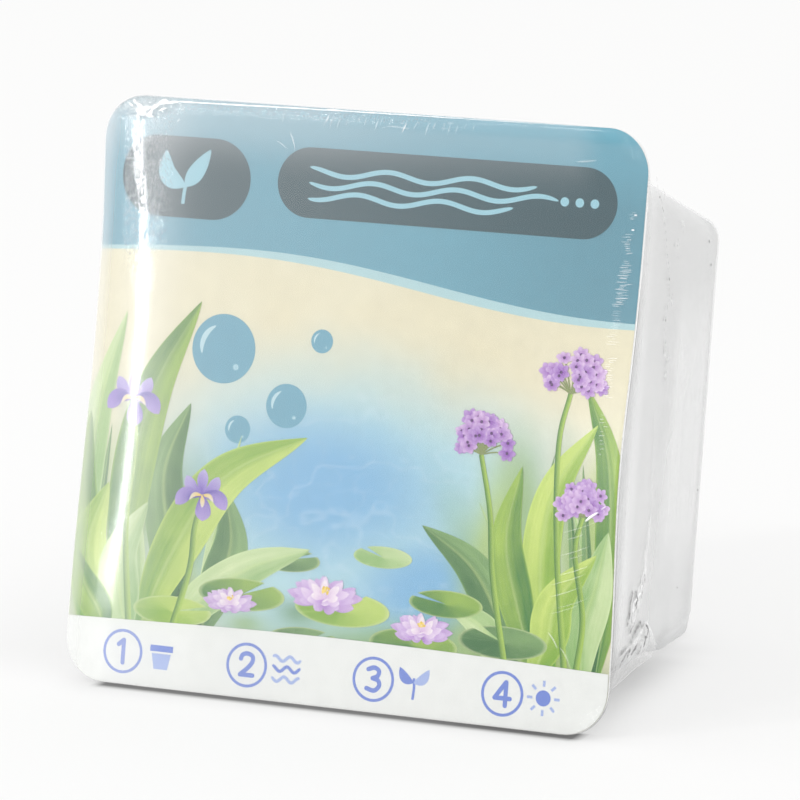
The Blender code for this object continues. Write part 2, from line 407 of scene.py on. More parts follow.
def film_material(name, haze=0.015, crumple_haze=0.22, peel=1.0):
    """Clear shrink film: see-through, with a glossy skin of fine orange peel.
    peel, crease, milk_and_sheen (milkiness: real whitening where the film is crumpled, and painted sheen of the light
    elsewhere) and dark (how much the reflection is damped, as painted shade) are numbers stored on the mesh."""
    m = Nodes(name)
    place = m.attribute("pkg").outputs["Vector"]
    strength = m.attribute("peel").outputs["Fac"]
    crease = m.attribute("crease").outputs["Fac"]
    dark = m.attribute("dark").outputs["Fac"]
    fine = m.noise(m.scaled(place, (1.0, 0.42, 0.42)), 2.0, 2.0, 0.55)
    wide = m.noise(m.scaled(place, (1.0, 0.30, 0.30)), 0.22, 2.0, 0.5)
    crackle = m.noise(place, 1.5, 5.0, 0.7, 0.6)
    one = m.bump(wide, 0.00002 * peel, 1.0)
    sparse = m.math("MAXIMUM", m.math("SUBTRACT", fine, 0.53), 0.0)
    two = m.bump(m.math("MULTIPLY", sparse, strength), 0.00017 * peel, 1.0, one)
    three = m.bump(m.math("MULTIPLY", crackle, crease), 0.0009, 1.0, two)
    clear = m.add("ShaderNodeBsdfTransparent")
    clear.inputs[0].default_value = (0.992, 0.994, 0.995, 1)
    sharp = m.add("ShaderNodeBsdfAnisotropic")
    sharp.inputs["Color"].default_value = (1, 1, 1, 1)
    height = m.add("ShaderNodeSeparateXYZ")
    m.put(height.inputs[0], place)
    m.put(sharp.inputs["Roughness"], m.spread(height.outputs["Y"], 5.0, 40.0, 0.12, 0.06))
    m.put(sharp.inputs["Normal"], three)
    broad = m.add("ShaderNodeBsdfAnisotropic")
    broad.inputs["Color"].default_value = (1, 1, 1, 1)
    broad.inputs["Roughness"].default_value = 0.34
    m.put(broad.inputs["Normal"], two)
    gloss = m.shade(sharp.outputs[0], broad.outputs[0], 0.30)
    # the film is one sheet, so it must reflect alike from either side
    behind = m.add("ShaderNodeNewGeometry").outputs["Backfacing"]
    fresnel = m.add("ShaderNodeFresnel")
    m.put(fresnel.inputs["IOR"], m.math("MULTIPLY_ADD", behind, 1 / 1.5 - 1.5, 1.5))
    m.put(fresnel.inputs["Normal"], three)
    # dark damps the reflection: painted shade
    mirror = m.math("MULTIPLY", fresnel.outputs[0], m.math("MULTIPLY_ADD", dark, -1.75, 1.75), clamp=True)
    skin = m.shade(clear.outputs[0], gloss, mirror)
    milk = m.add("ShaderNodeBsdfDiffuse")
    milk.inputs["Color"].default_value = (0.96, 0.965, 0.97, 1)
    m.put(milk.inputs["Normal"], three)
    through = m.add("ShaderNodeBsdfTranslucent")
    through.inputs["Color"].default_value = (0.97, 0.97, 0.97, 1)
    m.put(through.inputs["Normal"], three)
    cloudy = m.shade(milk.outputs[0], through.outputs[0], 0.3)
    spots = m.math("MULTIPLY", m.spread(crackle, 0.45, 0.7, 0.25, 1.0), crease)
    # painted sparkle: milky specks near the left highlight where the peel is strong, added to the painted sheen
    painted_sparkle = m.noise(m.scaled(place, (1.0, 0.42, 0.42)), 3.2, 2.0, 0.6)
    base = m.math("ADD", m.attribute("milk_and_sheen").outputs["Fac"], haze)
    base = m.math("MULTIPLY_ADD", m.spread(painted_sparkle, 0.50, 0.68, 0.0, 0.42), m.math("POWER", strength, 2.0), base)
    share = m.math("MULTIPLY_ADD", spots, crumple_haze, base, clamp=True)
    skin = m.shade(skin, cloudy, share)
    return m.finish(skin)


def mark_material():
    """Creased or stress-whitened film, with painted shade in its dark marks and painted glints in its white ones: tone
    runs from dark (0) to white (1), and cover is how much of what lies behind it hides."""
    m = Nodes("film_marks_painted_light")
    place = m.attribute("pkg").outputs["Vector"]
    tone = m.attribute("tone").outputs["Fac"]
    cover = m.attribute("cover").outputs["Fac"]
    grain = m.noise(place, 3.5, 2.0, 0.6)
    clear = m.add("ShaderNodeBsdfTransparent")
    level = m.math("MULTIPLY", tone, m.spread(grain, 0.2, 0.8, 0.88, 1.0))
    colour = m.add("ShaderNodeCombineColor")
    for k in range(3):
        m.put(colour.inputs[k], level)
    white = principled(m, colour.outputs[0], 0.25, 0.6)
    # white marks glow a little: a painted highlight
    painted_glow = white.node
    painted_glow.inputs["Emission Color"].default_value = (1, 1, 1, 1)
    m.put(painted_glow.inputs["Emission Strength"], m.spread(tone, 0.8, 1.0, 0.0, 0.17))
    share = m.math("MULTIPLY", cover, m.spread(grain, 0.25, 0.75, 0.7, 1.1), clamp=True)
    m.mat.cycles.emission_sampling = "NONE"  # too faint to light anything else
    return m.finish(m.shade(clear.outputs[0], white, share))


def floor_material():
    """A white acrylic table, lit a little from below, which keeps shadows pale."""
    m = Nodes("studio_floor")
    texture = m.add("ShaderNodeTexCoord")
    cloud = m.noise(texture.outputs["Object"], 0.7, 2.0, 0.5)
    node = m.add("ShaderNodeRGB")
    node.outputs[0].default_value = (0.26, 0.26, 0.259, 1)
    colour = m.tint(node.outputs[0], m.spread(cloud, 0.2, 0.8, 0.995, 1.005))
    top = m.add("ShaderNodeBsdfPrincipled")
    m.put(top.inputs["Base Color"], colour)
    top.inputs["Roughness"].default_value = 0.9
    top.inputs["Specular IOR Level"].default_value = 0.0
    top.inputs["Emission Color"].default_value = (1.0, 1.0, 0.995, 1)
    # shade is a painted shadow: it darkens both the table's colour and its glow
    kept = m.math("SUBTRACT", 1.0, m.attribute("shade").outputs["Fac"])
    m.put(top.inputs["Base Color"], m.tint(colour, kept))
    m.put(top.inputs["Emission Strength"], m.math("MULTIPLY", kept, 0.655))
    m.mat.cycles.emission_sampling = "NONE"
    return m.finish(top.outputs[0])


PRINT = print_material()
BOARD = board_material()
TUB = tub_material()
FILM = film_material("shrink_film")
MARK = mark_material()


# ------------------------------------------------------------------ the camera
def make_camera():
    yaw, pitch, roll = math.radians(23.75974), math.radians(12.01558), math.radians(-0.02027)
    target = Vector((-9.139e-3, 0.0, 66.067e-3))
    distance, focal = 1.494188, 5757.083
    back = Vector(
        (math.sin(yaw) * math.cos(pitch), -math.cos(yaw) * math.cos(pitch), math.sin(pitch))
    )
    right = Vector((math.cos(yaw), math.sin(yaw), 0.0))
    up = back.cross(right)
    right, up = (
        right * math.cos(roll) + up * math.sin(roll),
        up * math.cos(roll) - right * math.sin(roll),
    )
    data = bpy.data.cameras.new("camera")
    data.sensor_width = 36.0
    data.lens = focal * 36.0 / 800.0
    data.clip_start, data.clip_end = 0.05, 60.0
    camera = bpy.data.objects.new("camera", data)
    place = target + back * distance
    camera.matrix_world = Matrix(
        (
            (right.x, up.x, back.x, place.x),
            (right.y, up.y, back.y, place.y),
            (right.z, up.z, back.z, place.z),
            (0, 0, 0, 1),
        )
    )
    bpy.context.scene.collection.objects.link(camera)
    bpy.context.scene.camera = camera


# ------------------------------------------------------------------ lights
def area(name, yaw, elevation, distance, width, height, radiance, colour=(1, 1, 1), aim=(0, 0, 0.07), upright=False):
    """A softbox seen from the package at this yaw (0 is straight ahead of the
    card, negative to its left) and elevation, in degrees, with this radiance."""
    y, e = math.radians(yaw), math.radians(elevation)
    away = Vector((math.sin(y) * math.cos(e), -math.cos(y) * math.cos(e), math.sin(e)))
    data = bpy.data.lights.new(name, "AREA")
    data.shape = "RECTANGLE"
    data.size, data.size_y = width, height
    data.energy = radiance * math.pi * width * height
    data.color = colour
    light = bpy.data.objects.new(name, data)
    facing = Vector((away.x, away.y, 0)).normalized() if upright else away
    light.matrix_world = Matrix.Translation(Vector(aim) + away * distance) @ facing.to_track_quat(
        "Z", "Y"
    ).to_matrix().to_4x4()
    light.visible_camera = False
    bpy.context.scene.collection.objects.link(light)
    return light


def make_light():
    area("strip", -42.5, 17.0, 2.2, 0.13, 1.9, 26.0, upright=True)
    area("key", -26.5, 44.0, 3.0, 0.37, 0.30, 18.0)
    world = bpy.data.worlds.new("studio")
    world.use_nodes = True
    tree = world.node_tree
    tree.nodes.clear()
    out = tree.nodes.new("ShaderNodeOutputWorld")
    back = tree.nodes.new("ShaderNodeBackground")
    where = tree.nodes.new("ShaderNodeTexCoord")
    split = tree.nodes.new("ShaderNodeSeparateXYZ")
    ramp = tree.nodes.new("ShaderNodeValToRGB")
    tree.links.new(where.outputs["Generated"], split.inputs[0])
    tree.links.new(split.outputs["Z"], ramp.inputs[0])
    ramp.color_ramp.elements[0].position = 0.0
    ramp.color_ramp.elements[0].color = (0.873, 0.873, 0.870, 1)
    level = ramp.color_ramp.elements.new(0.012)
    level.color = (0.873, 0.873, 0.870, 1)
    low = ramp.color_ramp.elements.new(0.10)
    low.color = (0.85, 0.85, 0.855, 1)
    ramp.color_ramp.elements[-1].position = 0.8
    ramp.color_ramp.elements[-1].color = (1.16, 1.16, 1.16, 1)
    side = tree.nodes.new("ShaderNodeMapRange")
    tree.links.new(split.outputs["X"], side.inputs[0])
    for k, value in enumerate((0.40, 1.0, 1.0, 0.85)):
        side.inputs[k + 1].default_value = value
    dim = tree.nodes.new("ShaderNodeVectorMath")
    dim.operation = "SCALE"
    tree.links.new(ramp.outputs[0], dim.inputs[0])
    tree.links.new(side.outputs[0], dim.inputs["Scale"])
    tree.links.new(dim.outputs[0], back.inputs[0])
    back.inputs[1].default_value = 1.06
    tree.links.new(back.outputs[0], out.inputs[0])
    bpy.context.scene.world = world
    bpy.context.scene.view_settings.view_transform = "Standard"


def make_floor():
    """The table, with a painted shadow of the package's foot beside its contact, a faint painted shade to its left and
    a thin painted shadow line in front of the card's bottom edge.
    """
    far = 0.15 * (9.0 / 0.15) ** np.linspace(0, 1, 16)[1:]
    cells = np.concatenate([-far[::-1], np.arange(-0.15, 0.1501, 0.0015), far])
    x, y = np.meshgrid(cells, cells, indexing="ij")
    outline_mm = np.array(
        [(63, -65.9), (58.5, -24.0), (58.0, -19.1), (57.6, -11.7), (56.3, -0.4), (55.8, 7.1), (56.0, 13.7), (55.5, 20.6),
         (55.4, 26.3), (55.0, 36.4), (50.0, 45.9), (-50.0, 45.9), (-58.0, -20.0), (-63.0, -65.9)]
    )
    a, b = outline_mm, np.roll(outline_mm, -1, 0)
    px, py = x * 1000.0, y * 1000.0
    gap, inside = np.full(x.shape, 1e9), np.zeros(x.shape, bool)
    for (ax, ay), (bx, by) in zip(a, b):
        t = np.clip(((px - ax) * (bx - ax) + (py - ay) * (by - ay)) / ((bx - ax) ** 2 + (by - ay) ** 2), 0, 1)
        gap = np.minimum(gap, np.hypot(px - ax - t * (bx - ax), py - ay - t * (by - ay)))
        if ay != by:
            inside ^= ((ay > py) != (by > py)) & (px < (bx - ax) * (py - ay) / (by - ay) + ax)
    gap = np.where(inside, 0.0, gap)
    # painted shadow beside the contact: strongest along the right side, weaker elsewhere round the foot
    right = np.interp(py, (-84, -70, -64, -31, -12, 2, 13, 20, 27, 36, 60), (0, 0.10, 0.19, 0.26, 0.32, 0.32, 0.24, 0.135, 0.115, 0.03, 0.03))
    other = np.interp(py, (-84, -66, -50, 30, 60, 90), (0, 0.10, 0.17, 0.17, 0.17, 0.15))
    shade = (other + (right - other) * smooth(20, 50, px)) * np.exp(-((gap / 9.0) ** 2))
    # a faint broad painted shade to the left of the package
    shade += 0.065 * np.exp(-((gap / 70.0) ** 2)) * smooth(-75, -35, py) * (1 - smooth(-60, -20, px))
    # a thin painted shadow line in front of the card's bottom edge
    front = np.hypot(np.maximum(np.abs(px - 1.5) - 64.5, 0), np.maximum(-65.9 - py, 0))
    shade = np.clip(shade + 0.62 * np.exp(-((front / 1.7) ** 2)) * (py < -60), 0, 0.9)
    verts = np.stack([x.ravel(), y.ravel(), np.full(x.size, -0.00002)], -1)
    floor = build("floor", verts, quads(np.arange(x.size).reshape(x.shape)), values={"shade": shade.ravel()})
    floor.data.materials.append(floor_material())


# ------------------------------------------------------------------ the print
def on_card(u, v, half=CARD_HALF - 0.09, radius=CARD_R - 0.09):
    """Points outside the card's outline moved to the nearest place on it."""
    inner = half - radius
    au, av = np.clip(u, -inner, inner), np.clip(v, -inner, inner)
    du, dv = u - au, v - av
    share = np.minimum(1.0, radius / np.maximum(np.hypot(du, dv), 1e-9))
    return au + du * share, av + dv * share


class Layer:
    """Flat shapes laid on the card, each a grid of points with its own lift."""

    def __init__(self):
        self.u, self.v, self.lift, self.colour, self.faces, self.count = [], [], [], [], [], 0

    def grid(self, u, v, lift, colour):
        u, v = np.asarray(u, float), np.asarray(v, float)
        index = np.arange(u.size).reshape(u.shape) + self.count
        faces = quads(index)
        area2 = (
            (u[1:, :-1] - u[:-1, :-1]) * (v[:-1, 1:] - v[:-1, :-1])
            - (v[1:, :-1] - v[:-1, :-1]) * (u[:-1, 1:] - u[:-1, :-1])
        ).sum()
        if area2 < 0:
            faces = faces[:, ::-1]
        self.u.append(u.ravel())
        self.v.append(v.ravel())
        self.lift.append(np.broadcast_to(lift, u.shape).ravel())
        colour = np.asarray(colour, float)
        self.colour.append(np.broadcast_to(colour, (*u.shape, 3)).reshape(-1, 3))
        self.faces.append(faces)
        self.count += u.size

    def polygons(self, u, v, lift, colour, faces):
        faces = [np.asarray(f) + self.count for f in faces]
        self.u.append(np.asarray(u, float))
        self.v.append(np.asarray(v, float))
        self.lift.append(np.full(len(u), lift))
        self.colour.append(np.broadcast_to(np.asarray(colour, float), (len(u), 3)))
        self.faces += faces
        self.count += len(u)

    def make(self, name):
        u, v = on_card(np.concatenate(self.u), np.concatenate(self.v))
        lift = np.concatenate(self.lift)
        x, y, n = card_point(u, v)
        by_size = {}
        for f in self.faces:
            by_size.setdefault(f.shape[1], []).append(f)
        faces = [np.concatenate(f) for f in by_size.values()]
        # the ink colours are paled by the painted sheen of the soft light
        obj = build(
            name,
            package(x, y, n + lift),
            faces,
            pkg=np.stack([u, v, n], -1),
            colours=paled_by_painted_sheen(u, v, np.concatenate(self.colour)),
        )
        obj.data.materials.append(PRINT)
        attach(obj, "root")
        return obj


def edge_v(u):
    """Height of the card's outline at u, above the middle."""
    a = np.clip(np.abs(u) - (CARD_HALF - CARD_R), 0, CARD_R)
    return CARD_HALF - CARD_R + np.sqrt(np.maximum(CARD_R**2 - a * a, 0))


def columns(low, high, step=1.4):
    """Places across the card from low to high, closer where it is bent or round."""
    us = [low]
    while us[-1] < high - 1e-6:
        u = us[-1]
        near = CARD_HALF - abs(u)
        gap = 0.12 if near < 0.6 else 0.3 if near < 2.5 else 0.6 if near < 11 else step
        us.append(min(high, u + gap))
    return np.array(us)


def band(layer, us, low, high, rows, lift, colour):
    t = np.linspace(0, 1, rows) if np.ndim(rows) == 0 else rows
    u = np.repeat(us[:, None], len(t), 1)
    v = low[:, None] + (high - low)[:, None] * t[None, :]
    layer.grid(u, v, lift, colour(u, v) if callable(colour) else colour)


def round_box(layer, cu, cv, hu, hv, r, lift, colour, rows=9):
    arc = np.linspace(0, math.pi / 2, 15)
    inner = np.arange(-hu + r, hu - r + 1e-6, 1.5)
    left = -hu + r - r * np.cos(arc)
    us = np.unique(np.round(np.concatenate([left, inner, -left]), 5))
    a = np.clip(np.abs(us) - (hu - r), 0, r)
    top = hv - r + np.sqrt(np.maximum(r * r - a * a, 0))
    band(layer, us + cu, cv - top, cv + top, rows, lift, colour)


def disc(layer, cu, cv, ru, rv, lift, colour, rings=6, segments=48, start=0.0, sweep=1.0):
    a = start + np.linspace(0, 2 * math.pi * sweep, segments + 1)
    k = np.linspace(0, 1, rings + 1)[:, None]
    u, v = cu + ru * k * np.cos(a), cv + rv * k * np.sin(a)
    layer.grid(u, v, lift, colour(u, v, np.broadcast_to(k, u.shape)) if callable(colour) else colour)


def curve(points, count):
    """A smooth line through control points."""
    p = np.asarray(points, float)
    if len(p) == 2:
        p = np.array([p[0], (p[0] * 2 + p[1]) / 3, (p[0] + p[1] * 2) / 3, p[1]])
    ext = np.concatenate([[2 * p[0] - p[1]], p, [2 * p[-1] - p[-2]]])
    t = np.linspace(0, len(p) - 1 - 1e-9, count)
    i = t.astype(int)
    f = (t - i)[:, None]
    a, b, c, d = ext[i], ext[i + 1], ext[i + 2], ext[i + 3]
    return 0.5 * (
        2 * b + (c - a) * f + (2 * a - 5 * b + 4 * c - d) * f**2 + (3 * b - a - 3 * c + d) * f**3
    )


def ribbon(layer, points, width, lift, colour, count=24, cross=5, raw=False):
    """A band of changing width along a line. width and colour may be functions:
    width of t from 0 to 1 along it, colour of t and s from -1 to 1 across it."""
    path = np.asarray(points, float) if raw else curve(points, count)
    count = len(path)
    tangent = np.gradient(path, axis=0)
    tangent /= np.maximum(np.hypot(*tangent.T)[:, None], 1e-9)
    side = np.stack([-tangent[:, 1], tangent[:, 0]], -1)
    t = np.linspace(0, 1, count)
    w = width(t) if callable(width) else np.full(count, float(width))
    s = np.linspace(-1, 1, cross)
    u = path[:, None, 0] + side[:, None, 0] * w[:, None] * s / 2
    v = path[:, None, 1] + side[:, None, 1] * w[:, None] * s / 2
    if callable(colour):
        colour = colour(np.broadcast_to(t[:, None], u.shape), np.broadcast_to(s, u.shape), u, v)
    layer.grid(u, v, lift, colour)


def capped(t):
    """Round ends for a line of even width."""
    return np.sqrt(np.clip(1 - np.abs(2 * t - 1) ** 14, 0, 1))


def blurred_greens(u, v):
    """Out-of-focus growth behind the plants: (share, colour)."""
    rng = np.random.default_rng(11)
    share = np.zeros_like(u)
    colour = np.zeros((*u.shape, 3))
    weight = np.full(u.shape, 1e-6)
    for side in (-1, 1):
        for _ in range(15):
            cu = side * rng.uniform(38, 76)
            cv = rng.uniform(-62, -8)
            lean, long, wide = rng.normal(0, 0.35), rng.uniform(12, 26), rng.uniform(3.5, 8)
            x, y = u - cu, v - cv
            p, q = x * math.cos(lean) + y * math.sin(lean), -x * math.sin(lean) + y * math.cos(lean)
            g = np.exp(-((p / wide) ** 2 + (q / long) ** 2) * 1.2)
            tone = ink(*[(178, 200, 128), (146, 178, 118), (120, 160, 118), (196, 212, 150)][rng.integers(4)])
            share = 1 - (1 - share) * (1 - 0.62 * g)
            colour += g[..., None] * tone
            weight += g
    for _ in range(16):
        cu, cv, r = rng.uniform(-70, 70), rng.uniform(-64, -50), rng.uniform(5, 13)
        g = np.exp(-(((u - cu) / r) ** 2 + ((v - cv) / (r * 0.55)) ** 2))
        tone = ink(*[(152, 182, 120), (116, 152, 104), (168, 196, 140)][rng.integers(3)])
        share = 1 - (1 - share) * (1 - 0.7 * g)
        colour += g[..., None] * tone
        weight += g
    return share, colour / weight[..., None]


def ground(u, v):
    """The print's base: sand above, open water in the middle, growth at the sides."""
    slow, fine = fbm(u / 24, v / 24, 3), fbm(u / 6, v / 6, 5)
    sand = mix(ink(233, 228, 206), ink(226, 219, 192), 0.5 + 0.5 * slow)
    sand = sand * (1 + 0.018 * fine)[..., None]
    d = np.sqrt(((u - 3) / 66) ** 2 + ((v + 30) / 46) ** 2) + 0.10 * slow
    deep = np.sqrt(((u + 6) / 40) ** 2 + ((v + 20) / 24) ** 2) + 0.08 * slow
    deeper = np.sqrt(((u - 26) / 26) ** 2 + ((v + 44) / 18) ** 2) + 0.08 * slow
    water = mix(ink(146, 189, 219), ink(186, 216, 222), smooth(0.25, 1.15, np.minimum(deep, deeper)))
    lines = np.exp(-((fbm(u / 15 + fine * 0.15, v / 9, 21, 3) / 0.035) ** 2))
    lines += 0.6 * np.exp(-((fbm(u / 9, v / 5.5 + fine * 0.2, 23, 3) / 0.03) ** 2))
    water = mix(water, ink(206, 226, 236), np.clip(0.22 * lines, 0, 0.5))
    colour = mix(water, sand, smooth(0.55, 1.2, d))
    share, green = blurred_greens(u, v)
    share = share * (1 - smooth(-12, 14, v)) * smooth(-0.2, 0.5, 1 - np.exp(-share * 3))
    colour = mix(colour, green, np.clip(share, 0, 0.9))
    return np.where((v > wave(u) + 0.6)[..., None], ink(*HEADER), colour)


def card_grid(cells, half, radius):
    line = np.linspace(-1, 1, cells + 1)
    a, b = np.meshgrid(line, line, indexing="ij")
    return to_rounded(a * half, b * half, half, radius)


def make_card():
    # the board: front and back grids joined round a slightly eased cut edge
    cells = 90
    u, v = card_grid(cells, CARD_HALF - 0.06, CARD_R - 0.06)
    x, y, n = card_point(u, v)
    last = cells
    ring = (
        [(last, j) for j in range(0, last)]
        + [(i, last) for i in range(last, 0, -1)]
        + [(0, j) for j in range(last, 0, -1)]
        + [(i, 0) for i in range(0, last)]
    )
    ring = np.array(ring)
    index = np.arange(u.size).reshape(u.shape)
    grown_u, grown_v = card_grid(cells, CARD_HALF, CARD_R)
    gu, gv = grown_u[ring[:, 0], ring[:, 1]], grown_v[ring[:, 0], ring[:, 1]]
    gx, gy, gn = card_point(gu, gv)
    parts = [package(x, y, n), package(x, y, n - CARD_T)]
    places = [np.stack([u.ravel(), v.ravel(), n.ravel()], -1)] * 2
    for drop in (0.07, CARD_T - 0.07):
        parts.append(package(gx, gy, gn - drop))
        places.append(np.stack([gu * 1.0, gv * 1.0, gn - drop], -1))
    count = u.size
    k = len(ring)
    front, behind = index[ring[:, 0], ring[:, 1]], index[ring[:, 0], ring[:, 1]] + count
    rows = np.stack(
        [front, np.arange(k) + 2 * count, np.arange(k) + 2 * count + k, behind]
    )
    rows = np.concatenate([rows, rows[:, :1]], 1)
    edge = np.stack([rows[:-1, :-1], rows[1:, :-1], rows[1:, 1:], rows[:-1, 1:]], -1).reshape(-1, 4)
    faces = np.concatenate([quads(index), quads(index)[:, ::-1] + count, edge])
    board = build("card_board", np.concatenate(parts), faces, pkg=np.concatenate(places))
    board.data.materials.append(BOARD)
    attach(board, "root")
    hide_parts("card")

    # the print's base, painted vertex by vertex from formulas, its colours paled by the painted sheen
    cells = 290
    u, v = card_grid(cells, CARD_HALF - 0.07, CARD_R - 0.07)
    x, y, n = card_point(u, v)
    base = build(
        "print_ground",
        package(x, y, n + 0.012),
        quads(np.arange(u.size).reshape(u.shape)),
        pkg=np.stack([u.ravel(), v.ravel(), n.ravel()], -1),
        colours=paled_by_painted_sheen(u.ravel(), v.ravel(), ground(u, v).reshape(-1, 3)),
    )
    base.data.materials.append(PRINT)
    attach(base, "root")
    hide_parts("card")


# ---- header
HEADER = (130, 174, 189)
PALE = (168, 208, 219)
PLATE = (99, 115, 120)


def wave(u):
    """Lower edge of the blue header."""
    return 33.0 + 4.8 * np.cos((u + 62) / 50.0) + 1.6 * np.cos(u / 23.0 + 0.6)


def make_header():
    layer = Layer()
    inset = 0.08
    us = columns(-CARD_HALF + inset, CARD_HALF - inset)
    top = np.minimum(edge_v(us), edge_v(us)) - inset
    rows = np.concatenate([np.linspace(0, 0.86, 24), np.linspace(0.875, 1, 24)])
    # the blue darkens to the right below its top band: painted shade, for the soft light falling off across the card
    def blue(u, v):
        return ink(*HEADER) * (1 - 0.18 * smooth(10, 70, u) * (1 - smooth(52, 68, v)))[..., None]

    band(layer, us, wave(us), np.maximum(top, wave(us) + 0.1), rows, 0.032, blue)
    trim = columns(-CARD_HALF + inset, CARD_HALF - inset)
    thick = 1.7 + 0.7 * np.sin(trim / 31.0 + 1.0)
    band(layer, trim, wave(trim) - thick, wave(trim), 3, 0.026, ink(186, 214, 217))
    layer.make("print_header")

    layer = Layer()
    round_box(layer, -50.5, 55.0, 18.5, 10.3, 10.3, 0.040, ink(*PLATE))
    round_box(layer, 21.5, 56.0, 46.0, 8.9, 8.9, 0.040, ink(*PLATE))
    layer.make("print_plates")

    layer = Layer()
    pale = ink(*PALE)
    # a sprig of two leaves on the short plate
    ribbon(layer, [(-50.5, 48.2), (-50.2, 52.0), (-49.4, 55.5)], 0.95, 0.052, pale, 14)
    for tip, bend, wide in (((-56.2, 61.6), (-55.2, 55.4), 5.0), ((-43.6, 62.4), (-47.2, 56.6), 4.4)):
        ribbon(
            layer,
            [(-50.2, 52.6), bend, tip],
            lambda t, wide=wide: wide * np.sin(math.pi * np.clip(t, 0, 1) ** 0.9) ** 0.8,
            0.054,
            pale,
            30,
            5,
        )
    # three flowing lines and a row of dots on the long plate
    for k, (v0, a, b) in enumerate(((59.0, -16.0, 46.0), (55.9, -16.0, 52.0), (52.8, -16.0, 40.0))):
        u = np.linspace(a, b, 90)
        path = np.stack([u, v0 + 1.0 * np.sin((u + 4 * k) / 3.6)], -1)
        ribbon(layer, path, lambda t: 1.25 * capped(t), 0.052, pale, cross=3, raw=True)
    for u in (53.5, 57.5, 61.5):
        disc(layer, u, 56.0, 1.15, 1.15, 0.052, pale, 2, 24)
    layer.make("print_signs")


def make_bubbles():
    layer = Layer()
    blue = ink(131, 176, 193)
    for cu, cv, r in ((-36.0, 12.5, 8.8), (-17.5, -0.5, 5.6), (-30.5, -7.5, 3.5), (-9.0, 16.5, 3.0)):
        disc(layer, cu, cv, r, r, 0.046, blue, 3, 60)
        a = np.linspace(2.0, 3.4, 18)
        path = np.stack([cu + 0.70 * r * np.cos(a), cv + 0.70 * r * np.sin(a)], -1)
        ribbon(
            layer,
            path,
            lambda t, r=r: 0.16 * r * np.sin(math.pi * np.clip(t, 0.02, 0.98)) ** 0.6,
            0.052,
            ink(196, 222, 228),
            cross=3,
            raw=True,
        )
        disc(layer, cu + 0.42 * r, cv - 0.5 * r, 0.09 * r, 0.09 * r, 0.052, ink(178, 210, 219), 2, 20)
    layer.make("print_bubbles")


# ---- plants
LEAVES = {
    "lime": ((148, 182, 82), (208, 224, 138)),
    "green": ((106, 146, 82), (172, 198, 112)),
    "cool": ((96, 132, 96), (150, 180, 130)),
    "pale": ((160, 192, 134), (214, 228, 182)),
}


def leaf(layer, points, width, tone, lift, turn=0.0, base=0.12, peak=0.45, count=34, cross=9, seed=0):
    """A leaf along a line: two differently lit halves, a midrib and fine veins."""
    dark, light = (ink(*c) for c in LEAVES[tone])

    def wide(t):
        rise = np.sin(np.clip(t / peak, 0, 1) * math.pi / 2) ** 0.9
        fall = np.cos(np.clip((t - peak) / (1 - peak), 0, 1) * math.pi / 2) ** 0.85
        return width * np.maximum(np.where(t < peak, base + (1 - base) * rise, fall), 0.002)

    def colour(t, s, u, v):
        lit = 0.5 + 0.5 * np.tanh(3.2 * (s * math.copysign(1, turn if turn else 1) - 0.05) + turn)
        k = 0.13 + 0.60 * lit + 0.22 * (t - 0.5) + 0.18 * fbm(u / 7, v / 7, 40 + seed)
        k = k + 0.08 * np.sin(s * 15 + seed) * (1 - np.abs(s)) + 0.06 * fbm(u * 1.2, v * 0.4, 51 + seed)
        if cross > 20:
            veins = np.sin(s * 33 + 0.8 * fbm(t * 3, s * 2, 57 + seed))
            k = k + 0.075 * veins * (0.6 + 0.8 * fbm(t * 6, s * 4, 58 + seed)) * (1 - s**4)
            k = k + 0.10 * fbm(t * width * 1.1, s * 3.0, 59 + seed)
            glint = np.exp(-(((s - 0.42 * math.copysign(1, turn)) / 0.26) ** 2 + ((t - 0.55) / 0.22) ** 2))
            k = k + 0.22 * glint - 0.30 * (1 - smooth(0.0, 0.38, t))
        made = mix(dark, light, np.clip(k, -0.25, 1.15))
        rib = np.exp(-((s / 0.09) ** 2)) * (1 - 0.5 * t)
        made = mix(made, ink(206, 222, 156), 0.5 * rib)
        rim = smooth(0.86, 1.0, np.abs(s))
        return np.clip(mix(made, light * 1.12, 0.5 * rim), 0.004, 1)

    ribbon(layer, points, wide, lift, colour, count, cross)


def stem(layer, points, width, lift, top=0.75):
    dark, light = ink(104, 140, 74), ink(178, 204, 116)

    def colour(t, s, u, v):
        return mix(dark, light, np.clip(0.55 - 0.6 * s + 0.1 * np.sin(t * 9), 0, 1))

    ribbon(layer, points, lambda t: width * (1 - (1 - top) * t), lift, colour, 30, 5)


def petal(layer, base, tip, width, inner, outer, lift, peak=0.6, bend=0.0, streak=0.15, seed=0):
    b, t = np.array(base, float), np.array(tip, float)
    side = np.array([-(t - b)[1], (t - b)[0]])
    mid = (b + t) / 2 + side * bend
    a, c = ink(*inner), ink(*outer)

    def wide(x):
        rise = np.sin(np.clip(x / peak, 0, 1) * math.pi / 2)
        fall = np.cos(np.clip((x - peak) / (1 - peak), 0, 1) * math.pi / 2) ** 0.7
        return width * np.maximum(np.where(x < peak, 0.18 + 0.82 * rise, fall), 0.003)

    def colour(x, s, u, v):
        k = x**0.9 + streak * np.sin(s * 11 + seed) * (1 - x) - 0.18 * (s > 0) * (1 - np.abs(s))
        return mix(a, c, np.clip(k, 0, 1.1))

    ribbon(layer, [b, mid, t], wide, lift, colour, 12, 5)


